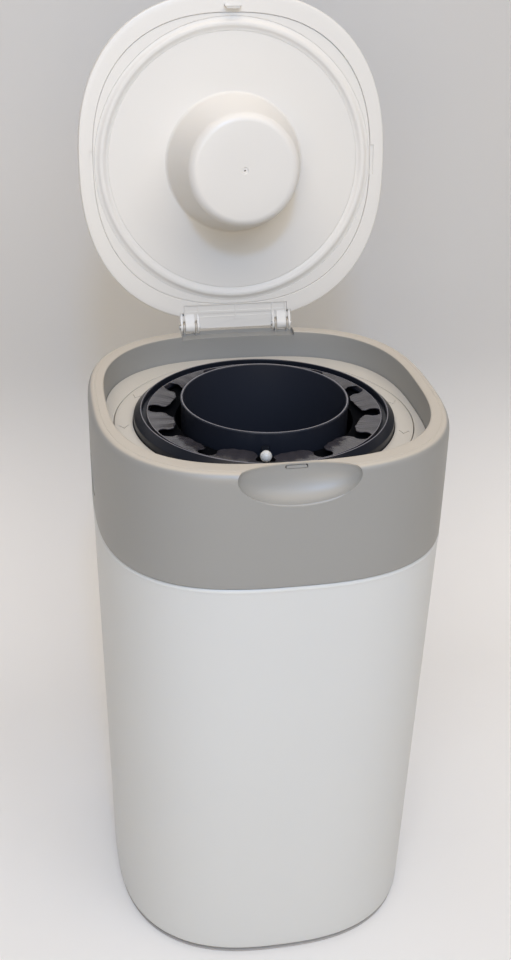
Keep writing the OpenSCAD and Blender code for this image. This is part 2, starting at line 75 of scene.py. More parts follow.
def linear(hex_colour):
    """An sRGB colour such as #8f9190, as the linear values that sockets take."""
    channels = [int(hex_colour[i : i + 2], 16) / 255 for i in (1, 3, 5)]
    return [c / 12.92 if c <= 0.04045 else ((c + 0.055) / 1.055) ** 2.4 for c in channels]


def length(name, description, millimetres):
    return bpy.props.FloatProperty(
        name=name, description=description, default=millimetres * MM, unit="LENGTH"
    )


def colour(name, description, hex_colour):
    return bpy.props.FloatVectorProperty(
        name=name, description=description, default=linear(hex_colour), subtype="COLOR", min=0, max=1
    )


class BinSizes(bpy.types.PropertyGroup):
    """Sizes of the bin's mouldings"""

    head_width: length("Head width", "Width of the head, side to side", cad_width("collar"))
    head_depth: length("Head depth", "Depth of the head, front to back", 248)
    rim_height: length("Rim height", "Height of the head's rim above the floor", 416)
    seam_height: length("Seam height", "Height of the line between tub and head", 332)
    foot_width: length("Foot width", "Width of the tub at its foot", 230)
    foot_depth: length("Foot depth", "Depth of the tub at its foot, front to back", 241)
    wall: length("Wall", "Thickness of the moulded shells", 2.5)
    lid_width: length("Lid width", "Width of the lid", 231)
    lid_length: length("Lid length", "Length of the lid from its hinge edge to its front edge", 241)
    lid_rise: length("Lid rise", "Height of the lid's crown above the rim", 16)
    lid_open: bpy.props.FloatProperty(
        name="Lid angle", description="Angle between the closed and the open lid",
        default=math.radians(98), subtype="ANGLE",
    )
    plunger_width: length("Plunger width", "Diameter of the plunger at the lid", 103)
    plunger_height: length("Plunger height", "Height of the plunger", 49)


class CassetteSizes(bpy.types.PropertyGroup):
    """Sizes of the film cassette and of the ring round it"""

    tray_width: length("Cassette width", "Outer diameter of the cassette's rim", 184)
    tube_width: length("Tube width", "Outer diameter of the funnel tube's mouth", 117.6)
    petal_width: length("Petal ring width", "Outer diameter of the ring of petals", 166)
    ring_width: length("Twist ring width", "Outer diameter of the twist ring", 211)
    petal_count: bpy.props.IntProperty(
        name="Petals", description="Number of petals in the cover", default=12, min=8, max=12
    )
    knob_bearing: bpy.props.FloatProperty(
        name="Knob bearing", description="Bearing of the cutter's knob from the front, towards the left",
        default=math.radians(10), subtype="ANGLE",
    )


class BinColours(bpy.types.PropertyGroup):
    """Colours of the plastics"""

    tub: colour("Tub", "Polypropylene of the tub", "#d5d6d4")
    lid: colour("Lid", "Polypropylene of the lid", "#e3e0da")
    head: colour("Head", "Polypropylene of the head", "#969591")
    # The cream is partly the plastic's own tone and partly painted warm light from above, far paler than the
    # head's grey.
    ring: colour("Twist ring", "Polypropylene of the deck and the twist ring", "#c3beb4")
    button: colour("Buttons", "Polypropylene of the release buttons", "#a7a8a7")
    foot: colour("Foot", "Rubbery plastic of the foot plate", "#b3aea9")
    cassette: colour("Cassette", "Polypropylene of the cassette", "#181b23")
    # Paler than the cassette's plastic: partly painted reflection, for the light its round wall picks up.
    tube: colour("Tube", "Polypropylene of the funnel tube", "#282b34")
    film: colour("Film", "Film drawn down between the petals", "#353338")
    knob: colour("Knob", "Acetal of the cutter's knob", "#c6c7c6")
    floor: colour("Floor", "Floor and backdrop", "#dedddb")


def sizes():
    return bpy.context.scene.bin_sizes


def cassette_sizes():
    return bpy.context.scene.cassette_sizes


def colours():
    return bpy.context.scene.bin_colours


# ---- dimensions worked out from the sizes, in millimetres

SIDES = 144  # straight edges round every oval outline
FINE_SIDES = 180  # round the tube and the rings of painted highlight
HEAD_N = 2.8  # fullness of the head's corners
FOOT_N = 2.6
LID_N = 2.42
HALF_GAP = 0.3  # half of the line that shows between tub and head
SEAM_STEP = 0.5  # how far the tub's top stands in from the head
DECK_DROP = 21  # from the rim down to the deck
LID_AXIS_IN = 1  # from the back of the head in to the lid's hinge
LID_AXIS_UP = 2  # from the rim up to the lid's hinge
LID_START = 3.5  # from the hinge to the lid's edge
LID_GAP = 0.4  # between the rim and the closed lid
LINER_IN = 0.8  # from the lid's underside up to its liner
FOOT_H = 3.5  # height of the tub's underside
CORNERS = (45, 135, 225, 315)  # bearings of the corners, in degrees
BARREL_R = 4.2  # of every hinge lug
TIGHT_HOLE_R = 2.0  # holds its pin
LOOSE_HOLE_R = 2.05  # turns on its pin
BUTTON_HALF = (19.6, 13.6)  # half sizes of a release button, front to back and up
BUTTON_DROP = 56  # from the rim down to the middle of a release button


def mm(value):
    return value / MM


def head_half():
    return mm(sizes().head_width) / 2, mm(sizes().head_depth) / 2


def foot_half():
    return mm(sizes().foot_width) / 2, mm(sizes().foot_depth) / 2


def ring_r():
    return mm(cassette_sizes().ring_width) / 2


def tray_r():
    return mm(cassette_sizes().tray_width) / 2


def petal_r():
    return mm(cassette_sizes().petal_width) / 2


def tube_r():
    return mm(cassette_sizes().tube_width) / 2


def rim_z():
    return mm(sizes().rim_height)


def seam_z():
    return mm(sizes().seam_height)


def wall():
    return mm(sizes().wall)


def deck_z():
    return rim_z() - DECK_DROP


def lid_axis():
    return Vector((0, head_half()[1] - LID_AXIS_IN, rim_z() + LID_AXIS_UP))


def lid_z():
    return rim_z() + LID_GAP


def lid_middle():
    return lid_axis().y - LID_START - mm(sizes().lid_length) / 2


def liner_z():
    return lid_z() + LINER_IN


def head_axis():
    return Vector((0, head_half()[1] + BARREL_R, seam_z()))


# ---- modelling by outlines

SIDE_ON = ((0, 1, 0), (0, 0, 1))  # directions of a flat shape that stands front to back
LEVEL = ((1, 0, 0), (0, 1, 0))  # and of one that lies flat


def outline(a, b, n, z, y=0.0):
    """A level oval |x/a|^n + |y/b|^n = 1 at height z, its middle set back by y."""
    return a, b, n, z, y


def circle(r, z, y=0.0):
    return r, r, 2, z, y


def point_on(shape, bearing):
    a, b, n, z, y = shape
    c, s = math.cos(bearing), math.sin(bearing)
    r = ((abs(c) / a) ** n + (abs(s) / b) ** n) ** (-1 / n)
    return Vector((r * c, y + r * s, z))


def deselect():
    if bpy.context.object and bpy.context.object.mode == "EDIT":
        bpy.ops.object.mode_set(mode="OBJECT")
    bpy.ops.object.select_all(action="DESELECT")


def activate(piece):
    deselect()
    piece.select_set(True)
    bpy.context.view_layer.objects.active = piece


def open_edit(piece, mode="VERT"):
    activate(piece)
    bpy.ops.object.mode_set(mode="EDIT")
    bpy.ops.mesh.select_mode(type=mode)


def close_edit():
    bpy.ops.object.mode_set(mode="OBJECT")


def added_piece(name):
    """The piece that was just added, named, with its place, turn and scale carried into its points."""
    piece = bpy.context.object
    piece.name = name
    piece.data.name = name
    bpy.ops.object.transform_apply(location=True, rotation=True, scale=True)
    return piece


def turn_outwards():
    """Turns every face of the piece in edit mode outwards, and goes back to object mode."""
    bpy.ops.mesh.select_all(action="SELECT")
    bpy.ops.mesh.normals_make_consistent(inside=False)
    close_edit()


def select_only(piece, kind, wanted):
    """Selects, of the piece in edit mode, only the faces or the edges that pass a test."""
    bpy.ops.mesh.select_all(action="DESELECT")
    mesh = bmesh.from_edit_mesh(piece.data)
    for part in getattr(mesh, kind):
        if wanted(part):
            part.select_set(True)
    bmesh.update_edit_mesh(piece.data)


def fit_selected(piece, shape):
    """Moves the selected points onto an outline, each along its own bearing."""
    mesh = bmesh.from_edit_mesh(piece.data)
    bearing = mesh.verts.layers.float["bearing"]
    for vert in mesh.verts:
        if vert.select:
            vert.co = point_on(shape, vert[bearing])
    bmesh.update_edit_mesh(piece.data)


def sweep(name, shapes, tyre=False, sides=SIDES):
    """A solid through a run of outlines, capped at both ends, or closed on itself like a tyre."""
    deselect()
    bpy.ops.mesh.primitive_circle_add(vertices=sides, radius=1, fill_type="NOTHING" if tyre else "NGON")
    piece = added_piece(name)
    open_edit(piece)
    bpy.ops.mesh.select_all(action="SELECT")
    mesh = bmesh.from_edit_mesh(piece.data)
    bearing = mesh.verts.layers.float.new("bearing")
    for vert in mesh.verts:
        vert[bearing] = math.atan2(vert.co.y, vert.co.x)
    fit_selected(piece, shapes[0])
    for shape in shapes[1:]:
        bpy.ops.mesh.extrude_region_move()
        fit_selected(piece, shape)
    if tyre:
        mesh = bmesh.from_edit_mesh(piece.data)
        for vert in mesh.verts:
            if vert.index < sides:
                vert.select_set(True)
        mesh.select_flush_mode()
        bmesh.update_edit_mesh(piece.data)
        bpy.ops.mesh.bridge_edge_loops()
    turn_outwards()
    piece.data.attributes.remove(piece.data.attributes["bearing"])
    return piece


def turned(name, points, tyre=True, sides=SIDES, y=0.0):
    """A solid of revolution about the vertical axis, from (radius, height) points."""
    return sweep(name, [circle(r, z, y) for r, z in points], tyre, sides)


def around(r, z, offsets):
    """Profile points at their distances outwards and upwards from the point (r, z)."""
    return [(r + out, z + up) for out, up in offsets]


def slab(name, points, place, across, thickness):
    """A flat shape, points (u, v) from place along two directions, pulled to a thickness along the third."""
    deselect()
    bpy.ops.mesh.primitive_circle_add(vertices=len(points), radius=1, fill_type="NGON")
    piece = added_piece(name)
    u_axis, v_axis = (Vector(axis) for axis in across)
    normal = u_axis.cross(v_axis)
    for vert, (u, v) in zip(piece.data.vertices, points):
        vert.co = Vector(place) + u * u_axis + v * v_axis
    open_edit(piece)
    bpy.ops.mesh.select_all(action="SELECT")
    bpy.ops.mesh.extrude_region_move(TRANSFORM_OT_translate={"value": normal * thickness})
    turn_outwards()
    return piece


def block(name, low, high):
    """A box between two corners."""
    deselect()
    low, high = Vector(low), Vector(high)
    bpy.ops.mesh.primitive_cube_add(size=1, location=(low + high) / 2, scale=high - low)
    return added_piece(name)


def rod(name, start, end, r, sides=48):
    """A round rod from start to end."""
    deselect()
    start, end = Vector(start), Vector(end)
    turn = (end - start).to_track_quat("Z", "Y").to_euler()
    bpy.ops.mesh.primitive_cylinder_add(
        vertices=sides, radius=r, depth=(end - start).length, location=(start + end) / 2, rotation=turn
    )
    return added_piece(name)


def ellipsoid(name, middle, half, rings):
    """An ellipsoid with its half sizes along the three axes."""
    deselect()
    bpy.ops.mesh.primitive_uv_sphere_add(segments=96, ring_count=rings, radius=1, location=middle, scale=half)
    return added_piece(name)


def apply_modifier(piece, kind, **settings):
    activate(piece)
    modifier = piece.modifiers.new(kind.title(), kind)
    for name, value in settings.items():
        setattr(modifier, name, value)
    bpy.ops.object.modifier_apply(modifier=modifier.name)


def soften(piece, width, segments=2, angle=35):
    """Rounds every edge that is sharper than an angle."""
    apply_modifier(
        piece, "BEVEL", width=width, segments=segments, limit_method="ANGLE",
        angle_limit=math.radians(angle), use_clamp_overlap=True, miter_outer="MITER_ARC",
    )


def combine(piece, other, operation):
    apply_modifier(piece, "BOOLEAN", operation=operation, object=other, solver="EXACT")
    bpy.data.objects.remove(other)


def cut(piece, tool):
    combine(piece, tool, "DIFFERENCE")


def fuse(piece, other):
    combine(piece, other, "UNION")


def join(pieces, name):
    """Makes one object of several, without welding them."""
    deselect()
    for piece in pieces:
        piece.select_set(True)
    bpy.context.view_layer.objects.active = pieces[0]
    bpy.ops.object.join()
    pieces[0].name = name
    pieces[0].data.name = name
    return pieces[0]


def copied(piece, matrix):
    """A copy with its own mesh, moved by a matrix."""
    twin = piece.copy()
    twin.data = piece.data.copy()
    bpy.context.scene.collection.objects.link(twin)
    twin.data.transform(matrix)
    return twin


def turn_z(degrees):
    return Matrix.Rotation(math.radians(degrees), 4, "Z")


def lid_swing():
    place = Matrix.Translation(lid_axis())
    return place @ Matrix.Rotation(-sizes().lid_open, 4, "X") @ place.inverted()


def finish_piece(piece, finish, body, replaced=(), smooth=35, pose=None):
    """Brings a piece to metres, gives it its material, and ties it to its body."""
    if pose is not None:
        piece.data.transform(pose)
    piece.data.transform(Matrix.Scale(MM, 4))
    activate(piece)
    bpy.ops.object.shade_smooth_by_angle(angle=math.radians(smooth))
    piece.data.materials.clear()
    piece.data.materials.append(finish_of(finish))
    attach(piece, body)
    if replaced:
        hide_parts(*replaced)
    return piece


# ---- materials

MELT_SCALE = 9  # per metre: patches about 110 mm across
WARP_SCALE = 60  # per metre: about 17 mm across
BLOTCH_SCALE = 90  # per metre: about 11 mm across
PLEATS = 38  # radial pleats round the whole cover
PAINTED_SHADE_HEIGHT = 0.3  # metres up the backdrop, where its painted shade stops changing
RIM_TOP_PAINTED_LIGHT_COLOUR = "#b9b1a4"  # of the head's rim top: painted warm light from above


def feed(tree, node, inputs):
    """Gives a node's inputs their values: a number, a colour, or the output of another node."""
    for name, value in inputs.items():
        if isinstance(value, bpy.types.NodeSocket):
            tree.links.new(value, node.inputs[name])
        else:
            node.inputs[name].default_value = value


def add_node(tree, kind, inputs=None, **settings):
    """Adds one node with its settings and inputs."""
    made = tree.nodes.new(kind)
    for name, value in settings.items():
        setattr(made, name, value)
    feed(tree, made, inputs or {})
    return made


def new_material(name):
    """An empty material, with its tree, shader and object coordinates."""
    made = bpy.data.materials.new(name)
    made.use_nodes = True
    tree = made.node_tree
    shader = tree.nodes["Principled BSDF"]
    place = tree.nodes.new("ShaderNodeTexCoord").outputs["Object"]
    return made, tree, shader, place


def shade(tone, factor=1):
    """A colour for a socket, made darker or paler by a factor."""
    return [*(channel * factor for channel in tone), 1]


def blend_by_height(tree, place, low, high, below, above):
    """One colour below a height and another above a second height, in metres, with a smooth change between."""
    apart = add_node(tree, "ShaderNodeSeparateXYZ", {"Vector": place})
    step = {"Value": apart.outputs["Z"], "From Min": low, "From Max": high}
    rise = add_node(tree, "ShaderNodeMapRange", step, interpolation_type="SMOOTHSTEP")
    tones = {"Factor": rise.outputs["Result"], "A": below, "B": above}
    return add_node(tree, "ShaderNodeMix", tones, data_type="RGBA")


def moulded(name, base, roughness, grain_mm, grain_depth, sheen=0.5, flow=0.06, painted_light_band=None):
    """Injection-moulded plastic: a fine spark-eroded grain, a slow drift of tone from the melt, uneven gloss.

    The real grain is under 0.1 mm, and is drawn coarser so that it shows at all. A painted light band (low
    height, high height, colour) is a top band drawn paler: painted light for the warm light that falls on
    level tops.
    """
    made, tree, shader, place = new_material(name)
    grain = add_node(tree, "ShaderNodeTexNoise", {"Vector": place, "Scale": 1 / (grain_mm * MM), "Detail": 2})
    melt = add_node(tree, "ShaderNodeTexNoise", {"Vector": place, "Scale": MELT_SCALE, "Detail": 3})
    tones = {"Factor": melt.outputs["Fac"], "A": shade(base, 1 - flow), "B": shade(base, 1 + flow / 2)}
    tone = add_node(tree, "ShaderNodeMix", tones, data_type="RGBA")
    spread = {"Value": melt.outputs["Fac"], "To Min": roughness * 0.85, "To Max": roughness * 1.15}
    gloss = add_node(tree, "ShaderNodeMapRange", spread)
    relief = {"Height": grain.outputs["Fac"], "Strength": 0.35, "Distance": grain_depth * MM}
    bump = add_node(tree, "ShaderNodeBump", relief)
    # Painted light: the top band is drawn paler, for the warm light that falls on level tops.
    if painted_light_band:
        low, high, paler = painted_light_band
        tone = blend_by_height(tree, place, low * MM, high * MM, tone.outputs["Result"], shade(paler))
    feed(tree, shader, {
        "Base Color": tone.outputs["Result"],
        "Roughness": gloss.outputs["Result"],
        "Normal": bump.outputs["Normal"],
        "Specular IOR Level": sheen,
    })
    return made


def drawn_film(name, base):
    """Thin multilayer film drawn tight: glossy, with shallow radial pleats about 12 mm apart."""
    made, tree, shader, place = new_material(name)
    apart = add_node(tree, "ShaderNodeSeparateXYZ", {"Vector": place}).outputs
    bearing = add_node(tree, "ShaderNodeMath", {0: apart["Y"], 1: apart["X"]}, operation="ARCTAN2")
    warp = add_node(tree, "ShaderNodeTexNoise", {"Vector": place, "Scale": WARP_SCALE, "Detail": 2})
    shift = {0: warp.outputs["Fac"], 1: 0.05, 2: bearing.outputs[0]}
    shifted = add_node(tree, "ShaderNodeMath", shift, operation="MULTIPLY_ADD")
    pleats = add_node(tree, "ShaderNodeMath", {0: shifted.outputs[0], 1: PLEATS}, operation="MULTIPLY")
    wave = add_node(tree, "ShaderNodeMath", {0: pleats.outputs[0]}, operation="SINE")
    blotch = add_node(tree, "ShaderNodeTexNoise", {"Vector": place, "Scale": BLOTCH_SCALE, "Detail": 3})
    tones = {"Factor": blotch.outputs["Fac"], "A": shade(base, 0.55), "B": shade(base, 1.35)}
    tone = add_node(tree, "ShaderNodeMix", tones, data_type="RGBA")
    relief = {"Height": wave.outputs[0], "Strength": 0.3, "Distance": 0.5 * MM}
    bump = add_node(tree, "ShaderNodeBump", relief)
    feed(tree, shader, {
        "Base Color": tone.outputs["Result"],
        "Normal": bump.outputs["Normal"],
        "Roughness": 0.2,
        "IOR": 1.5,
        "Coat Weight": 0.4,
        "Coat Roughness": 0.08,
    })
    return made


def plated_steel(name):
    """Zinc-plated steel: a dull spangle, 2.5 mm across, that makes the gloss uneven."""
    made, tree, shader, place = new_material(name)
    spangle = add_node(tree, "ShaderNodeTexVoronoi", {"Vector": place, "Scale": 1 / (2.5 * MM)})
    spread = {"Value": spangle.outputs["Distance"], "To Min": 0.28, "To Max": 0.42}
    rough = add_node(tree, "ShaderNodeMapRange", spread).outputs["Result"]
    feed(tree, shader, {"Base Color": shade(linear("#b9bab9")), "Metallic": 1, "Roughness": rough})
    return made


def matt_ground(name, base):
    """Matt board, paler on the floor and darker up the backdrop: painted light and shade for the lamp
    overhead.

    It is clear from behind, so that the bin can be looked at from its back.
    """
    made, tree, shader, place = new_material(name)
    # Painted light and shade: the floor is drawn paler, and the backdrop darker as it rises.
    tone = blend_by_height(tree, place, 0, PAINTED_SHADE_HEIGHT, shade(base, 1.15), shade(base, 0.86))
    feed(tree, shader, {"Base Color": tone.outputs["Result"], "Roughness": 0.7})
    face = add_node(tree, "ShaderNodeNewGeometry")
    clear = add_node(tree, "ShaderNodeBsdfTransparent")
    sides = {"Fac": face.outputs["Backfacing"], 1: shader.outputs["BSDF"], 2: clear.outputs["BSDF"]}
    one_sided = add_node(tree, "ShaderNodeMixShader", sides)
    feed(tree, tree.nodes["Material Output"], {"Surface": one_sided.outputs["Shader"]})
    return made


FINISHES = {
    "tub": lambda: moulded("satin_polypropylene_tub", colours().tub, 0.38, 0.6, 0.02, flow=0.02),
    "lid": lambda: moulded("satin_polypropylene_lid", colours().lid, 0.32, 0.6, 0.015, flow=0.02),
    # The head's paler rim top is painted warm light from above.
    "head": lambda: moulded("matt_polypropylene_head", colours().head, 0.42, 0.5, 0.035, sheen=0.8, flow=0.03,
                            painted_light_band=(rim_z() - 1.6, rim_z() - 0.1, linear(RIM_TOP_PAINTED_LIGHT_COLOUR))),
    "ring": lambda: moulded("matt_polypropylene_ring", colours().ring, 0.46, 0.5, 0.03, flow=0.03),
    "button": lambda: moulded("matt_polypropylene_button", colours().button, 0.42, 0.5, 0.03, flow=0.03),
    "foot": lambda: moulded("matt_elastomer_foot", colours().foot, 0.7, 0.9, 0.06),
    "cassette": lambda: moulded("gloss_polypropylene_cassette", colours().cassette, 0.3, 0.8, 0.008,
                                sheen=0.3),
    "tube": lambda: moulded("satin_polypropylene_tube", colours().tube, 0.34, 0.8, 0.01, sheen=0.4),
    # Pale grey rings on the dark rims: painted highlight lines.
    "edge": lambda: moulded("rubbed_polypropylene_edge", linear("#807e83"), 0.4, 0.5, 0.01),
    "petals": lambda: drawn_film("drawn_film_cover", colours().film),
    "knob": lambda: moulded("polished_acetal_knob", colours().knob, 0.22, 0.8, 0.01, flow=0.02),
    "seal": lambda: moulded("moulded_silicone_seal", colours().lid, 0.5, 0.4, 0.02, flow=0.03),
    "inner": lambda: moulded("plain_polypropylene_inner", linear("#8f9190"), 0.5, 0.7, 0.04),
    "slip": lambda: moulded("smooth_acetal_slip", linear("#dad9d4"), 0.3, 0.8, 0.01),
    "rubber": lambda: moulded("matt_rubber_gripper", linear("#3b3c3f"), 0.75, 0.8, 0.05),
    "steel": lambda: plated_steel("zinc_plated_steel"),
    # Nearly black and dull, far darker than the same film in the petals: painted shade for the gaps between
    # the petals.
    "film_pack_in_painted_shade": lambda: moulded("pleated_film_pack", linear("#08090c"), 0.7, 1.2, 0.4, sheen=0.02,
                                   flow=0.2),
}


def finish_of(name):
    """The material of a finish, made when a piece first asks for it."""
    if name not in made_finishes:
        made_finishes[name] = FINISHES[name]()
    return made_finishes[name]


made_finishes = {}


# ---- tub

FOOT_SCREW_AT = 90  # from the middle of the bin

def tub_outline(z, inset):
    """The tub tapers from the seam down to the foot, and its corners get rounder on the way."""
    a_top, b_top = head_half()
    share = (z - FOOT_H) / (seam_z() - FOOT_H)
    a_foot, b_foot = foot_half()
    a = a_foot + (a_top - SEAM_STEP - a_foot) * share - inset
    b = b_foot + (b_top - SEAM_STEP - b_foot) * share - inset
    return outline(a, b, FOOT_N + (HEAD_N - FOOT_N) * share, z)


def hinge_lug(name, x, thickness, points, axis, hole):
    """A flat lug with a round barrel about the hinge's axis, and a hole for the pin."""
    lug = slab(name, points, (x - thickness / 2, 0, 0), SIDE_ON, thickness)
    barrel_ends = [(x + side * thickness / 2, axis.y, axis.z) for side in (-1, 1)]
    fuse(lug, rod("barrel", *barrel_ends, BARREL_R))
    pin_ends = [(x + side * thickness, axis.y, axis.z) for side in (-1, 1)]
    cut(lug, rod("pin_hole", *pin_ends, hole))
    soften(lug, 0.4)
    return lug


def make_tub():
    top = seam_z() - HALF_GAP
    first, last = 14, top - 2  # where the straight side starts and ends
    heights = [first + (last - first) * k / 8 for k in range(9)]
    floor_curve = [(0, 3.2), (0.15, 2.0), (0.6, 1.0), (1.5, 0.35), (3, 0.05)]
    lip = [(-3, -0.15), (-2.3, -0.38), (-1.9, -0.36), (-0.4, 0.5), (0, 0.9), (0, 2.2), (-0.6, wall())]
    shapes = [tub_outline(FOOT_H + rise, inset) for rise, inset in floor_curve]
    shapes += [tub_outline(z, 0) for z in heights]
    shapes += [tub_outline(top + rise, inset) for rise, inset in lip]
    shapes += [tub_outline(z, wall()) for z in reversed(heights)]
    shapes += [tub_outline(FOOT_H + 4.5, wall() + 2), tub_outline(FOOT_H + wall(), wall() + 6)]
    tub = sweep("tub_body", shapes)
    axis = head_axis()
    back = head_half()[1]
    points = [(back - 8, axis.z - 22), (back - 1, axis.z - 22), (axis.y + BARREL_R, axis.z - 5),
              (axis.y + BARREL_R, axis.z), (back + 0.4, axis.z), (back, top), (back - 8, top)]
    for x in (-57, -43, 43, 57):
        fuse(tub, hinge_lug("tub_lug", x, 6, points, axis, TIGHT_HOLE_R))
    finish_piece(tub, "tub", "tub", ["tub"])


def make_foot():
    a, b = foot_half()
    steps = [(0, 1.9), (0.25, 1.3), (0.9, 1.1), (1.15, 1.3), (1.35, 2.4), (1.6, 4), (FOOT_H, 4)]
    foot = sweep("foot_pad", [outline(a - inset, b - inset, FOOT_N, z) for z, inset in steps])
    up = Vector((0, 0, 1))
    for bearing in CORNERS:
        place = turn_z(bearing) @ Vector((FOOT_SCREW_AT, 0, 0))
        cut(foot, rod("screw_recess", place - up, place + 2 * up, 4.2))
    finish_piece(foot, "foot", "tub", ["foot_plate"])


# ---- head

MOUTH_Y = 2.5  # the mouth's middle, behind the head's
SCOOP_HALF = (39.9, 14, 18.6)  # half sizes of the ellipsoid that cuts the finger scoop
SCOOP_LIP_HALF = (40.7, 3.8, 19.4)
SCOOP_DROP = 4.5  # from the rim down to its middle
NOTCH_HALF = 44  # half width of the recess for the lid's hinge
NOTCH_DROP = 4  # from the rim down to its floor
HINGE_X = 36  # middle of each of the lid's two hinges
KNUCKLE_W = 7.2
LUG_W = 1.4  # thin lugs of the head, one on each side of the lid's wide knuckle
LUG_AT = 4.6
DISC_W = 1.6  # thin discs of the lid, outside the lugs
DISC_AT = 6.4
HEAD_LUG_X = 50
HEAD_LUG_W = 7.2
POST_AT = 114.5  # posts that carry the frame, from the middle of the bin
LEDGE_AT = 117
DECK_T = 2.5  # thickness of the deck and the twist ring
LEFT_MARKS = (120, 150, 180, 210, 240)  # bearings of the arrowheads
RIGHT_MARKS = (-51, -21, 8, 38, 68)


def head_outline(inset, z):
    a, b = head_half()
    return outline(a - inset, b - inset, HEAD_N, z)


def mouth_outline(outset, z):
    a, b = head_half()
    return outline(a - 11.5 + outset, b - 14 + outset, HEAD_N, z, MOUTH_Y)


def scoop_tool(half, depth):
    """An ellipsoid that cuts the finger scoop, or the soft lip round it."""
    return ellipsoid("scoop_tool", (0, -head_half()[1] + depth, rim_z() - SCOOP_DROP), half, 64)


def thick_place(name, low, high):
    """A thick place in the head's wall, inside its outline and outside its mouth."""
    steps = [(0.9, seam_z() + 1), (0.9, rim_z() - 5), (4, rim_z() - 1)]
    core = sweep(name, [head_outline(inset, z) for inset, z in steps])
    combine(core, block("box", low, high), "INTERSECT")
    cut(core, sweep("mouth", [mouth_outline(1.2, low[2] - 2), mouth_outline(1.2, high[2] + 2)]))
    return core


def collar_shapes():
    """The head's outlines: up its outside, over its rim, down into the mouth, and down again in its wall."""
    foot = seam_z() + HALF_GAP
    rim = rim_z()
    under = rim - wall()
    below_deck = deck_z() - 4
    side = [foot + rise for rise in (1.2, 12, 26)] + [rim - drop for drop in (44, 32, 25, 21, 18, 15, 12, 9)]
    crown = [(0.1, 6.5), (0.35, 4.4), (0.8, 2.8), (1.5, 1.5), (2.4, 0.6), (3.2, 0.15), (4.0, 0.0), (5.0, 0.0),
             (5.2, 0.2), (5.65, 0.2), (5.85, 0.0)]
    mouth = [(1.6, rim), (0.7, rim - 0.15), (0.15, rim - 0.6), (0, rim - 1.4), (0, rim - 12), (0, below_deck),
             (wall(), below_deck), (wall(), under)]
    inside = [(wall() + 0.6, under), (wall(), rim - 6), (wall(), foot + 40), (wall() + 0.6, foot)]
    shapes = [head_outline(0.9, foot), head_outline(0.45, foot + 0.35)]
    shapes += [head_outline(0.3 * max(0, 1 - (z - foot) / 40), z) for z in side]
    shapes += [head_outline(inset, rim - drop) for inset, drop in crown]
    shapes += [mouth_outline(outset, z) for outset, z in mouth]
    shapes += [head_outline(inset, z) for inset, z in inside]
    return shapes


def cut_hinge_notch(head):
    """The recess for the lid's hinge at the back of the rim, with a deeper one for each set of knuckles."""
    rim = rim_z()
    back = head_half()[1]
    notch = sweep("notch_tool", [head_outline(wall(), rim - 3.6), head_outline(wall(), rim + 20)])
    low, high = (-NOTCH_HALF, back - 30, rim - NOTCH_DROP), (NOTCH_HALF, back, rim + 10)
    combine(notch, block("box", low, high), "INTERSECT")
    cut(head, notch)
    half = DISC_AT + DISC_W / 2 + 0.4
    for x in (-HINGE_X, HINGE_X):
        cut(head, block("hinge_recess", (x - half, back - 8, rim - 2.8), (x + half, back + 4, rim + 8)))


def cut_latch_slit(head):
    """The latch's receiver in the scoop: a slit with round corners, and a tab in it."""
    rim = rim_z()
    front = -head_half()[1] + 12
    slit_half, tab_half = 7.4, 6.5
    slit = block("latch_slit", (-slit_half, front, rim - 4.7), (slit_half, front + 8, rim - 1.5))
    soften(slit, 1.1, 3)
    tab = block("latch_tab", (-tab_half, front - 2, rim - 4.3), (tab_half, front + 10, rim - 2.5))
    soften(tab, 0.5)
    cut(slit, tab)
    cut(head, slit)


def lugs_of_head():
    """Thin lugs for the lid's hinge on the rim, and two wide ones for the head's own hinge at the seam."""
    axis = lid_axis()
    low = rim_z() - 8.5
    points = [(axis.y - 4, low), (axis.y - 1, low), (axis.y + 3.8, low + 7.5), (axis.y + BARREL_R, axis.z),
              (axis.y - BARREL_R, axis.z), (axis.y - BARREL_R, low + 4.5)]
    middles = [x + shift for x in (-HINGE_X, HINGE_X) for shift in (-LUG_AT, LUG_AT)]
    lugs = [hinge_lug("lid_lug", x, LUG_W, points, axis, TIGHT_HOLE_R) for x in middles]
    axis = head_axis()
    back = head_half()[1]
    edge = axis.y + BARREL_R
    points = [(axis.y, axis.z + 1), (edge, axis.z), (edge, axis.z + 3)]
    points += around(back, axis.z, [(0, 20), (-4.5, 20), (-4.5, 12), (-7.5, 12), (-7.5, 1)])
    for x in (-HEAD_LUG_X, HEAD_LUG_X):
        lugs.append(hinge_lug("head_lug", x, HEAD_LUG_W, points, axis, LOOSE_HOLE_R))
    return lugs


def posts_of_head():
    """A post in each corner that the frame is screwed to, with a round ledge under the deck's corner."""
    post = rod("post", (POST_AT, 0, seam_z() + 17), (POST_AT, 0, deck_z() - 3.5), 5)
    fuse(post, rod("ledge", (LEDGE_AT, 0, deck_z() - 5.7), (LEDGE_AT, 0, deck_z() - 2.5), 9))
    posts = [copied(post, turn_z(bearing)) for bearing in CORNERS]
    bpy.data.objects.remove(post)
    return posts


def make_head():
    head = sweep("head_collar", collar_shapes(), tyre=True)
    rim = rim_z()
    half_b = head_half()[1]
    fuse(head, thick_place("scoop_wall", (-46, -half_b - 1, rim - 27), (46, -half_b + 22, rim - 1.5)))
    fuse(head, thick_place("notch_wall", (-47, half_b - 24, rim - 11), (47, half_b + 1, rim - 2.0)))
    cut(head, scoop_tool(SCOOP_HALF, 1))
    cut(head, scoop_tool(SCOOP_LIP_HALF, 0))
    cut_hinge_notch(head)
    cut_latch_slit(head)
    for side in (-1, 1):
        cut(head, oval("button_hole", side, 0.6, head_half()[0] - 10, 14))
    soften(head, 0.5, 2, 40)
    join([head, *lugs_of_head(), *posts_of_head()], "head_collar")
    finish_piece(head, "head", "head", ["collar"])


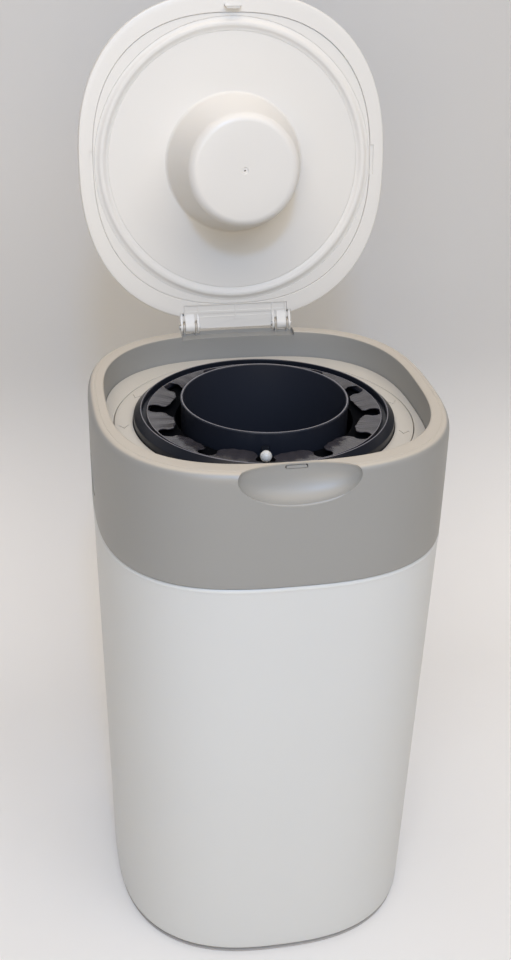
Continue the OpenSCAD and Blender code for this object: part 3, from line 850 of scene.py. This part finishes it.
def oval(name, side, grow, x, thickness):
    """An oval plate, larger than a release button by grow all round, that runs from x outwards."""
    a, b = (half + grow for half in BUTTON_HALF)
    points = [(a * math.cos(math.radians(t)), b * math.sin(math.radians(t))) for t in range(0, 360, 5)]
    place = (side * x, 0, rim_z() - BUTTON_DROP)
    return slab(name, points, place, ((0, side, 0), (0, 0, 1)), thickness)


def make_buttons():
    """Release buttons: ovals with a shallow hollow for the thumb, on a stem."""
    middle = rim_z() - BUTTON_DROP
    outer = head_half()[0] - 0.8
    for side, name in ((-1, "left"), (1, "right")):
        button = oval("button_" + name, side, 0, outer - 2.8, 2.8)
        soften(button, 0.5, 3)
        cut(button, ellipsoid("thumb_hollow", (side * (outer + 2.6), 0, middle), (4, 18, 12), 48))
        flange = oval("button_flange", side, 1.8, outer - 4.4, 1.6)
        stem = rod("stem", (side * (outer - 4.4), 0, middle), (side * (outer - 19.1), 0, middle), 5)
        soften(stem, 0.4)
        join([button, flange, stem], "button_" + name)
        finish_piece(button, "button", "button_" + name, ["release_button_" + name])


def make_deck():
    """The plate between the mouth and the twist ring."""
    top = deck_z()
    low = top - DECK_T
    r = ring_r() + 0.5
    shapes = [circle(r, low), circle(r, top - 0.3), circle(r + 0.3, top)]
    shapes += [mouth_outline(-0.5, top), mouth_outline(-0.2, top - 0.3), mouth_outline(-0.2, low)]
    deck = sweep("deck_plate", shapes, tyre=True)
    finish_piece(deck, "ring", "head", ["deck"])


def chevron(size, stroke, z, depth):
    """An arrowhead of two strokes, drawn about the origin and pointing along +Y."""
    half, tip = size / 2, size * 0.35
    points = [(-half + stroke, -tip), (0, tip - 1.6 * stroke), (half - stroke, -tip), (half, -tip), (0, tip),
              (-half, -tip)]
    return slab("chevron", points, (0, 0, z), LEVEL, depth)


def make_twist_ring():
    top = deck_z()
    outer = ring_r()
    inner = tray_r() + 0.6
    outside = [(-0.4, -DECK_T), (0, -2.1), (0, -0.5), (-0.2, -0.1), (-0.6, 0), (-3, 0)]
    inside = [(3, 0), (0.6, 0), (0.15, -0.15), (0, -0.6)]
    profile = [(inner, top - DECK_T)] + around(outer, top, outside) + around(inner, top, inside)
    ring = turned("twist_ring_top", profile)
    mark = chevron(7.6, 0.75, top - 0.6, 2)
    middle = Matrix.Translation(((outer + inner) / 2, 0, 0))
    marks = [copied(mark, turn_z(bearing) @ middle) for bearing in LEFT_MARKS]
    marks += [copied(mark, turn_z(bearing) @ middle @ turn_z(180)) for bearing in RIGHT_MARKS]
    bpy.data.objects.remove(mark)
    cut(ring, join(marks, "marks"))
    finish_piece(ring, "ring", "turntable", ["twist_ring"])


# ---- cassette

FILM_TUCK = 0.4  # how far the film starts inside the petal ring's outer edge


def rim_top():
    return deck_z() + 4.8


def cover_top():
    return rim_top() + 2.2


def make_cassette_rim():
    r = tray_r()
    inner = tube_r() + 0.2
    top = rim_top()
    low = cad_low("cassette_tray")
    ridge = r - 5.1
    shelf = top - 2.3
    lip = petal_r() - 1.6
    points = [(inner, low), (r - 1.2, low), (r, low + 1.2)]
    points += around(r, top, [(0, -0.8), (-0.2, 0), (-0.8, 0.6)])
    points += around(ridge, top, [(0.8, 3.7), (0.3, 4.2), (-0.3, 4.3), (-0.8, 3.8), (-0.8, -0.8)])
    points += [(lip, top - 0.8), (lip, shelf), (r - 1.8, shelf), (r - 1.8, low + 2.2), (inner, low + 2.2)]
    tray = turned("cassette_rim", points)
    soften(tray, 0.25, 2, 40)
    finish_piece(tray, "cassette", "cassette", ["cassette_tray"], smooth=30)
    make_edge("cassette_rim_edge", ridge, top + 4.34, 0.3)


def petal(name, rng, bearing):
    """One tongue of film over a rib: narrow at the slots' round ends, rounded at its tip, sagging inwards."""
    root = petal_r() - FILM_TUCK
    pitch = math.pi / cassette_sizes().petal_count
    reach = rng.uniform(15, 20)
    sag = rng.uniform(0.6, 2.2)
    lean = rng.uniform(-0.8, 0.8)
    slant = rng.uniform(-0.07, 0.07)
    left_cut, right_cut = rng.uniform(0.08, 0.3), rng.uniform(0.08, 0.3)
    phase = rng.uniform(0, 6)
    deselect()
    bpy.ops.mesh.primitive_grid_add(x_subdivisions=48, y_subdivisions=22, size=2)
    piece = added_piece(name)
    for vert in piece.data.vertices:
        across, inward = vert.co.x, (vert.co.y + 1) / 2
        corner = max(0, (abs(across) - 0.62) / 0.38)
        tip = 1 - slant * across - corner * (left_cut if across < 0 else right_cut)
        r = root - inward * reach * tip
        half = max(r * pitch - slot_half(root + FILM_TUCK - r), 2)
        angle = bearing + across * half / r
        pleat = 0.2 * math.sin(across * 8 + phase + inward) + 0.06 * math.sin(across * 26 + 2 * phase)
        z = cover_top() - sag * inward**1.6 + lean * across * inward + pleat * inward
        vert.co = Vector((r * math.cos(angle), r * math.sin(angle), z))
    open_edit(piece)
    turn_outwards()
    if piece.data.polygons[0].normal.z < 0:
        piece.data.flip_normals()
    apply_modifier(piece, "SOLIDIFY", thickness=0.9, offset=-1)
    soften(piece, 0.25, 2, 50)
    return piece


def slot_half(depth):
    """Half width of the slot between two petals at a depth inward: a round end, a neck, then a flare."""
    bulb, neck, neck_at, flare = 6.6, 5.2, 10.5, 0.07
    if depth < bulb:
        return math.sqrt(max(bulb**2 - (bulb - depth) ** 2, 0))
    if depth < neck_at:
        share = (depth - bulb) / (neck_at - bulb)
        return neck + (bulb - neck) * (1 + math.cos(math.pi * share)) / 2
    return neck + flare * (depth - neck_at) ** 1.9


def make_petals():
    rng = random.Random(7)
    count = cassette_sizes().petal_count
    first = math.radians(270) - cassette_sizes().knob_bearing
    step = 2 * math.pi / count
    petals = [petal("petal", rng, first + step * (k + 0.5)) for k in range(count)]
    r = petal_r()
    low = rim_top() - 0.8
    top = cover_top()
    crown = around(r, top, [(0, -0.3), (-0.3, 0), (-0.9, 0), (-1.2, -0.3)])
    ring = turned("petal_ring", [(r - 1.2, low), (r, low)] + crown)
    join([ring, *petals], "petal_cover")
    finish_piece(ring, "petals", "cassette", ["cassette_cover"], smooth=50)
    make_edge("petal_ring_edge", r - 0.6, top + 0.04, 0.25)


def make_funnel():
    r = tube_r()
    top = rim_z() - 3.7
    low = cad_low("funnel_tube")
    flange = [(0, 4.2), (3, 4.2), (3, 5.7), (0, 5.7)]
    mouth = [(0, -2.2), (0.35, -1.4), (0.4, -0.7), (0.15, -0.15), (-0.4, 0), (-1.1, -0.1), (-1.5, -0.5),
             (-1.6, -1.2)]
    points = [(r - 1.6, low), (r, low)] + around(r, low, flange) + around(r, top, mouth)
    tube = turned("funnel_tube_wall", points, sides=FINE_SIDES)
    finish_piece(tube, "tube", "cassette", ["funnel_tube"])
    make_edge("funnel_tube_edge", r - 0.65, top + 0.04, 0.4)


def make_edge(name, r, z, half):
    """A narrow pale ring let into the top of a rim: a painted highlight line along its crest."""
    chamfer = half - 0.15
    section = [(-half, -0.7), (half, -0.7), (half, -0.15), (chamfer, 0), (-chamfer, 0), (-half, -0.15)]
    painted_light_band = turned(name, around(r, z, section), sides=FINE_SIDES)
    finish_piece(painted_light_band, "edge", "cassette")


def make_cutter():
    """The cutter, pushed round the petals by its knob: a slide in the groove, an arm and a ball."""
    inner = petal_r() + 0.4
    outer = tray_r() - 6.3
    middle = (inner + outer) / 2
    low = rim_top() - 0.5
    arm_z = rim_top() + 2.7
    arm_top = arm_z + 1.1
    bearing = turn_z(270 - math.degrees(cassette_sizes().knob_bearing))

    slide = turned("cutter_slide", [(inner, low), (outer, low), (outer, arm_top), (inner, arm_top)])
    wedge = slab("wedge", [(0, 0), (120, -16.8), (120, 16.8)], (0, 0, low - 5), LEVEL, 20)
    combine(slide, wedge, "INTERSECT")
    half = 2.5
    root = tube_r() + 1.2
    arm = [(root, -half), (middle, -half), (middle, half), (root, half), (root - 0.6, 0)]
    fuse(slide, slab("arm", arm, (0, 0, arm_z), LEVEL, arm_top - arm_z))
    soften(slide, 0.2)
    finish_piece(slide, "cassette", "cutter", ["cutter_carriage"], pose=bearing)

    ball_z = rim_top() + 8.2
    below = [(1.9, -3.5), (3.1, -2.5), (3.8, -1.2), (4.0, 0)]
    above = [(3.8, 1.2), (3.1, 2.5), (1.9, 3.5), (0.9, 3.88)]
    points = [(1.1, arm_top), (1.1, ball_z - 3.8)] + around(0, ball_z, below + above)
    knob = turned("cutter_ball", points, tyre=False, sides=48)
    apply_modifier(knob, "SUBSURF", levels=1, render_levels=1)
    place = bearing @ Matrix.Translation((middle, 0, 0))
    finish_piece(knob, "knob", "cutter", ["cutter_knob"], pose=place, smooth=60)


# ---- lid

FLANGE_INSET = 10.5  # from the lid's edge to its flange, side to side
FLANGE_INSET_Y = 14  # and front to back
LEAF_HALF = 40.3
SEAL_R = 98.8  # to the middle of the seal's bead


def lid_outline(inset, z, inset_y=None):
    """The lid's outline at height z, drawn in by an inset that may differ front to back."""
    s = sizes()
    b = mm(s.lid_length) / 2 - (inset if inset_y is None else inset_y)
    return outline(mm(s.lid_width) / 2 - inset, b, LID_N, z, lid_middle())


def flange_outline(inset, z):
    return lid_outline(FLANGE_INSET + inset, z, FLANGE_INSET_Y + inset)


def make_lid_shell():
    low = lid_z()
    top = rim_z() + mm(sizes().lid_rise)
    t = wall()
    edge = [(4.6, 0), (1.6, 0), (0.7, 0.25), (0.2, 0.9), (0, 2), (0, 5)]
    crown = [(0.25, 6.5), (0.9, 4.6), (2.0, 3.2), (4.2, 2.0), (9, 1.2), (22, 0.55), (45, 0.15), (75, 0)]
    ceiling = [(75, 0), (45, 0.15), (22, 0.55), (t + 6, 1.6), (t + 2, 4), (t, 7)]
    shapes = [flange_outline(0, low + 2), flange_outline(0, low + 0.35), flange_outline(-0.35, low)]
    shapes += [lid_outline(inset, low + rise) for inset, rise in edge]
    shapes += [lid_outline(inset, top - drop) for inset, drop in crown]
    shapes += [lid_outline(inset, top - t - drop) for inset, drop in ceiling]
    shell = sweep("lid_top", shapes + [lid_outline(t, low + 2)], tyre=True)
    close_crown(shell, top - t)
    hinge_y = lid_axis().y
    cut(shell, block("leaf_gap", (-43.5, hinge_y - 11.3, low - 1), (43.5, hinge_y + 4, low + 4.6)))
    cut(shell, block("leaf_gap", (-40.4, hinge_y - 17.2, low - 1), (40.4, hinge_y - 6, low + 3)))
    clip_x = mm(sizes().lid_width) / 2 - FLANGE_INSET
    middle = lid_middle()
    for x in (-clip_x - 2.4, clip_x - 1):
        cut(shell, block("clip_pocket", (x, middle - 11, low - 1), (x + 3.4, middle + 11, low + 1)))
    finish_piece(shell, "lid", "lid", ["lid_shell"], pose=lid_swing())


def close_crown(shell, ceiling):
    """Fills the hole that the swept crown leaves at its middle, above and below."""
    half_x, half_y = 40, 46  # of the hole

    def at_hole(vert):
        off = (vert.co.x / half_x) ** 2 + ((vert.co.y - lid_middle()) / half_y) ** 2 - 1
        return abs(off) < 0.6 and vert.co.z > ceiling - 0.1

    open_edit(shell, "EDGE")
    select_only(shell, "faces", lambda face: abs(face.normal.z) < 0.5 and all(map(at_hole, face.verts)))
    bpy.ops.mesh.delete(type="ONLY_FACE")
    select_only(shell, "edges", lambda edge: edge.is_boundary)
    bpy.ops.mesh.edge_face_add()
    turn_outwards()


def make_lid_liner():
    """The plate inside the lid, with the channel of the seal and a low step round the plunger."""
    face = liner_z()
    hub = mm(sizes().plunger_width) / 2 - 9
    rings = [flange_outline(0.12, face + 2), flange_outline(0.12, face + 0.4), flange_outline(0.5, face)]
    steps = [(104.2, 0), (103.8, 0.4), (94.0, 0.4), (93.6, 0.1), (84, 0.25), (70, 0.2), (58, 0), (hub, 0)]
    rings += [circle(r, face + rise, lid_middle()) for r, rise in steps]
    rings += [circle(hub, face + 2, lid_middle())]
    liner = sweep("lid_inner_plate", rings, tyre=True)
    finish_piece(liner, "lid", "lid", ["lid_liner"], pose=lid_swing())


def make_lid_seal():
    """The soft ring under the lid: a thin foot in its channel, and a round bead that meets the film."""
    side = [(3.6, -0.2), (2.4, -0.9), (1.6, -1.8), (0.6, -2.1)]
    section = [(4.8, 0.35), (4.8, 0), *side, *((-out, up) for out, up in side[::-1]), (-4.6, 0), (-4.6, 0.35)]
    seal = turned("lid_seal_ring", around(SEAL_R, liner_z(), section), y=lid_middle())
    finish_piece(seal, "seal", "lid", ["lid_seal"], pose=lid_swing(), smooth=50)


def make_plunger():
    r = mm(sizes().plunger_width) / 2
    base = liner_z()
    face = base - mm(sizes().plunger_height)
    edge_r = r - 10.5
    bend = 7  # radius of the round edge of the face
    wall_foot = [(0.4, 0), (-0.5, -0.4), (-1.3, -1.6), (-2.0, -4)]
    arc = [(bend * math.cos(math.radians(t)), -bend * math.sin(math.radians(t))) for t in range(0, 91, 9)]
    middle = [(20, 0.1), (6, 0.15), (2.6, 0.2), (2.2, 0.55), (0.6, 0.6)]
    inside = [(0.6, 5), (edge_r - 10, 5), (edge_r - 5, 12)]
    points = around(r, base, wall_foot) + around(edge_r - bend, face + bend, arc)
    points += around(0, face, middle + inside) + [(r - 5.5, base)]
    plunger = turned("plunger_cup", points, y=lid_middle())
    finish_piece(plunger, "lid", "lid", ["plunger"], pose=lid_swing())


def make_lid_hinge():
    """The leaf behind the lid's flange, with its ribs, its wide knuckles and its thin discs."""
    axis = lid_axis()
    low = lid_z()
    plates = [  # name, half width, rear and front from the axis, low and high from the lid's underside
        ("lid_hinge_plate", LEAF_HALF, -17.5, -5.5, 1, 4),
        ("wide", 43.4, -9, -5.2, 1, 4),
        ("band", LEAF_HALF, -12.2, -10.4, 0.5, 2.6),
        ("apron", 29.5, -7.8, 1.2, 0.6, 4),
    ]
    leaf, *others = [
        block(name, (-half, axis.y + front, low + under), (half, axis.y + back, low + over))
        for name, half, front, back, under, over in plates
    ]
    for other in others:
        fuse(leaf, other)
    for x in (0.8 - LEAF_HALF, -29, 0, 29, LEAF_HALF - 0.8):
        fuse(leaf, block("rib", (x - 0.6, axis.y - 17, low + 0.2), (x + 0.6, axis.y - 5.5, low + 2.6)))
    soften(leaf, 0.25, 2, 60)
    root = axis.y - 11.2
    arm = [(root, low + 0.8), (axis.y - 2.5, axis.z - 3.3), (axis.y, axis.z), (axis.y, low + 4),
           (root, low + 4)]
    turning = [leaf]
    for x in (-HINGE_X, HINGE_X):
        for middle, thickness in ((x, KNUCKLE_W), (x - DISC_AT, DISC_W), (x + DISC_AT, DISC_W)):
            turning.append(hinge_lug("knuckle", middle, thickness, arm, axis, LOOSE_HOLE_R))
    join(turning, "lid_hinge_plate")
    finish_piece(leaf, "lid", "lid", ["lid_hinge_leaf"], pose=lid_swing())


def make_lid_latch():
    low = lid_z()
    y = -head_half()[1] + 11
    tongue = block("lid_latch_tongue", (-6.2, y, low - 5), (6.2, y + 1.5, low + 0.3))
    points = [(y + 1.4, low - 4.6), (y + 3.2, low - 4.2), (y + 1.4, low - 3.2)]
    fuse(tongue, slab("nose", points, (-5, 0, 0), SIDE_ON, 10))
    soften(tongue, 0.25)
    finish_piece(tongue, "lid", "lid", ["lid_latch"], pose=lid_swing())


# ---- solids that keep their own shape


KEPT = {
    "steel": ["foot_screws", "strike_plates", "head_hinge_pins", "frame_screws", "lid_hinge_pins",
              "button_spring_left", "button_spring_right", "cutter_blade", "plunger_screws"],
    "inner": ["head_frame", "click_pawl", "latch_hook_left", "latch_hook_right", "cassette_well"],
    "slip": ["slip_ring"],
    "rubber": ["gripper_ring"],
    "film_pack_in_painted_shade": ["film_pack"],
}


def finish_kept_solids():
    for finish, nodes in KEPT.items():
        for name in nodes:
            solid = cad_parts[name]
            solid.data.materials.clear()
            solid.data.materials.append(finish_of(finish))


# ---- stage: floor, lamps and camera


def area_lamp(name, place, target, size, power, tint):
    lamp = bpy.data.lights.new(name, "AREA")
    lamp.shape = "RECTANGLE"
    lamp.size, lamp.size_y = size
    lamp.energy = power
    lamp.color = linear(tint)
    holder = bpy.data.objects.new(name, lamp)
    bpy.context.scene.collection.objects.link(holder)
    holder.visible_camera = False
    holder.location = place
    holder.rotation_euler = (Vector(target) - Vector(place)).to_track_quat("-Z", "Y").to_euler()


FLOOR_SIZE = 6  # metres, as all sizes of the stage
WALL_Y = 0.46  # from the middle of the bin to the backdrop
COVE_R = 0.24
BACKDROP_HEIGHT = 3


def make_floor():
    """A board that runs level under the bin and curves up into the backdrop."""
    deselect()
    rear = WALL_Y - COVE_R
    bpy.ops.mesh.primitive_plane_add(size=FLOOR_SIZE, location=(0, rear - FLOOR_SIZE / 2, 0))
    floor = added_piece("studio_floor")
    open_edit(floor, "EDGE")
    select_only(floor, "edges", lambda edge: all(vert.co.y > rear - 0.01 for vert in edge.verts))
    steps = 32
    last = Vector((0, 0, 0))
    for k in range(1, steps + 1):
        bend = math.pi / 2 * k / steps
        here = Vector((0, COVE_R * math.sin(bend), COVE_R * (1 - math.cos(bend))))
        bpy.ops.mesh.extrude_region_move(TRANSFORM_OT_translate={"value": here - last})
        last = here
    bpy.ops.mesh.extrude_region_move(TRANSFORM_OT_translate={"value": (0, 0, BACKDROP_HEIGHT)})
    turn_outwards()
    if floor.data.polygons[0].normal.z < 0:
        floor.data.flip_normals()
    bpy.ops.object.shade_smooth()
    floor.data.materials.append(matt_ground("painted_board_floor", colours().floor))


ROOM_LIGHT = "#fff0dc"  # a pale ceiling
EVENING_LIGHT = "#ffe4b8"  # a warm wall in front
DAY_LIGHT = "#b4d8ff"  # a window behind the camera
SKY_LIGHT = "#90c0ff"  # the clear sky in that window

LAMPS = [  # name, place, target, size, watts, tint
    ("sky_in_window", (-0.2, -1.4, 1.8), (0, 0.1, 0.5), (0.2, 0.2), 9, SKY_LIGHT),
    ("softbox_above", (0.1, -0.6, 2.2), (0, 0, 0.35), (2.4, 2.4), 40, ROOM_LIGHT),
    ("softbox_front", (-0.5, -2.2, 0.8), (0, 0, 0.3), (1.6, 1.2), 14, EVENING_LIGHT),
    ("softbox_at_camera", (-0.25, -1.3, 1.1), (0, 0, 0.35), (0.9, 0.9), 6, DAY_LIGHT),
    ("softbox_right", (2.0, -0.6, 0.9), (0, 0, 0.3), (1.0, 1.4), 2, EVENING_LIGHT),
    ("softbox_high_right", (0.9, -1.3, 1.7), (0, 0, 0.35), (0.8, 0.8), 3, DAY_LIGHT),
]
AIR_COLOUR = "#e6e8ea"
AIR_STRENGTH = 0.01


def make_lamps():
    for lamp in LAMPS:
        area_lamp(*lamp)
    world = bpy.data.worlds.new("studio_air")
    bpy.context.scene.world = world
    world.use_nodes = True
    background = world.node_tree.nodes["Background"]
    background.inputs["Color"].default_value = (*linear(AIR_COLOUR), 1)
    background.inputs["Strength"].default_value = AIR_STRENGTH
    bpy.context.scene.view_settings.view_transform = "Standard"


CAMERA_BEARING = -11.0  # degrees from the front, where less than 0 is towards the left
CAMERA_HEIGHT_ANGLE = 28.0
CAMERA_DISTANCE = 0.9545
CAMERA_TARGET = Vector((-0.0051, 0, 0.346))
CAMERA_ROLL = 1.31
CAMERA_LENS = 49.35


def make_camera():
    bearing, height = math.radians(CAMERA_BEARING), math.radians(CAMERA_HEIGHT_ANGLE)
    level = math.cos(height)
    back = Vector((math.sin(bearing) * level, -math.cos(bearing) * level, math.sin(height)))
    camera = bpy.data.cameras.new("front_camera")
    camera.sensor_width = 36
    camera.lens = CAMERA_LENS
    holder = bpy.data.objects.new("front_camera", camera)
    bpy.context.scene.collection.objects.link(holder)
    turn = (-back).to_track_quat("-Z", "Y").to_matrix().to_4x4()
    place = Matrix.Translation(CAMERA_TARGET + back * CAMERA_DISTANCE)
    holder.matrix_world = place @ turn @ turn_z(CAMERA_ROLL)
    bpy.context.scene.camera = holder


# ---- operators and panel


class BinMaker:
    """What every operator here shares"""

    bl_options = {"REGISTER", "UNDO"}


class NAPPYBIN_OT_tub(BinMaker, bpy.types.Operator):
    """Tapered tub with the lugs of the head's hinge, and the foot plate under it"""

    bl_idname = "nappy_bin.tub"
    bl_label = "Tub and foot"

    def execute(self, context):
        make_tub()
        make_foot()
        return {"FINISHED"}


class NAPPYBIN_OT_head(BinMaker, bpy.types.Operator):
    """Grey head with its rim, finger scoop, hinge recess and button holes"""

    bl_idname = "nappy_bin.head"
    bl_label = "Head"

    def execute(self, context):
        make_head()
        return {"FINISHED"}


class NAPPYBIN_OT_buttons(BinMaker, bpy.types.Operator):
    """The two oval buttons that let the head tilt"""

    bl_idname = "nappy_bin.buttons"
    bl_label = "Release buttons"

    def execute(self, context):
        make_buttons()
        return {"FINISHED"}


class NAPPYBIN_OT_ring(BinMaker, bpy.types.Operator):
    """Plate inside the mouth, and the ring of arrows that twists the film"""

    bl_idname = "nappy_bin.ring"
    bl_label = "Deck and twist ring"

    def execute(self, context):
        make_deck()
        make_twist_ring()
        return {"FINISHED"}


class NAPPYBIN_OT_cassette(BinMaker, bpy.types.Operator):
    """Rim of the cassette, the petals of its cover, and the funnel tube"""

    bl_idname = "nappy_bin.cassette"
    bl_label = "Film cassette"

    def execute(self, context):
        make_cassette_rim()
        make_petals()
        make_funnel()
        return {"FINISHED"}


class NAPPYBIN_OT_cutter(BinMaker, bpy.types.Operator):
    """Slide that runs round the cassette, with its arm and ball"""

    bl_idname = "nappy_bin.cutter"
    bl_label = "Cutter"

    def execute(self, context):
        make_cutter()
        return {"FINISHED"}


class NAPPYBIN_OT_lid(BinMaker, bpy.types.Operator):
    """Shell, inner plate, seal, hinge leaf and latch of the lid"""

    bl_idname = "nappy_bin.lid"
    bl_label = "Lid"

    def execute(self, context):
        make_lid_shell()
        make_lid_liner()
        make_lid_seal()
        make_lid_hinge()
        make_lid_latch()
        return {"FINISHED"}


class NAPPYBIN_OT_plunger(BinMaker, bpy.types.Operator):
    """Cup under the lid that pushes the film down"""

    bl_idname = "nappy_bin.plunger"
    bl_label = "Plunger"

    def execute(self, context):
        make_plunger()
        return {"FINISHED"}


class NAPPYBIN_OT_kept(BinMaker, bpy.types.Operator):
    """Plastics, rubber and steel of the solids that keep their own shape"""

    bl_idname = "nappy_bin.kept"
    bl_label = "Inner parts"

    def execute(self, context):
        finish_kept_solids()
        return {"FINISHED"}


class NAPPYBIN_OT_stage(BinMaker, bpy.types.Operator):
    """Floor, backdrop, lamps and camera"""

    bl_idname = "nappy_bin.stage"
    bl_label = "Stage"

    def execute(self, context):
        make_floor()
        make_lamps()
        make_camera()
        return {"FINISHED"}


OPERATORS = [
    NAPPYBIN_OT_tub,
    NAPPYBIN_OT_head,
    NAPPYBIN_OT_buttons,
    NAPPYBIN_OT_ring,
    NAPPYBIN_OT_cassette,
    NAPPYBIN_OT_cutter,
    NAPPYBIN_OT_lid,
    NAPPYBIN_OT_plunger,
    NAPPYBIN_OT_kept,
    NAPPYBIN_OT_stage,
]


class NAPPYBIN_PT_panel(bpy.types.Panel):
    """Sizes, colours and pieces of the nappy bin"""

    bl_label = "Nappy Bin"
    bl_idname = "NAPPYBIN_PT_panel"
    bl_space_type = "VIEW_3D"
    bl_region_type = "UI"
    bl_category = "Nappy Bin"

    def draw(self, context):
        for group in (context.scene.bin_sizes, context.scene.cassette_sizes, context.scene.bin_colours):
            box = self.layout.box()
            for name in group.__annotations__:
                box.prop(group, name)
        for made in OPERATORS:
            self.layout.operator(made.bl_idname)


GROUPS = [("bin_sizes", BinSizes), ("cassette_sizes", CassetteSizes), ("bin_colours", BinColours)]


def register():
    for name, group in GROUPS:
        bpy.utils.register_class(group)
        setattr(bpy.types.Scene, name, bpy.props.PointerProperty(type=group))
    for made in [*OPERATORS, NAPPYBIN_PT_panel]:
        bpy.utils.register_class(made)


def unregister():
    for made in [NAPPYBIN_PT_panel, *reversed(OPERATORS)]:
        bpy.utils.unregister_class(made)
    for name, group in reversed(GROUPS):
        delattr(bpy.types.Scene, name)
        bpy.utils.unregister_class(group)


def main():
    register()
    for made in OPERATORS:
        group, name = made.bl_idname.split(".")
        getattr(getattr(bpy.ops, group), name)()


if __name__ == "__main__":
    main()
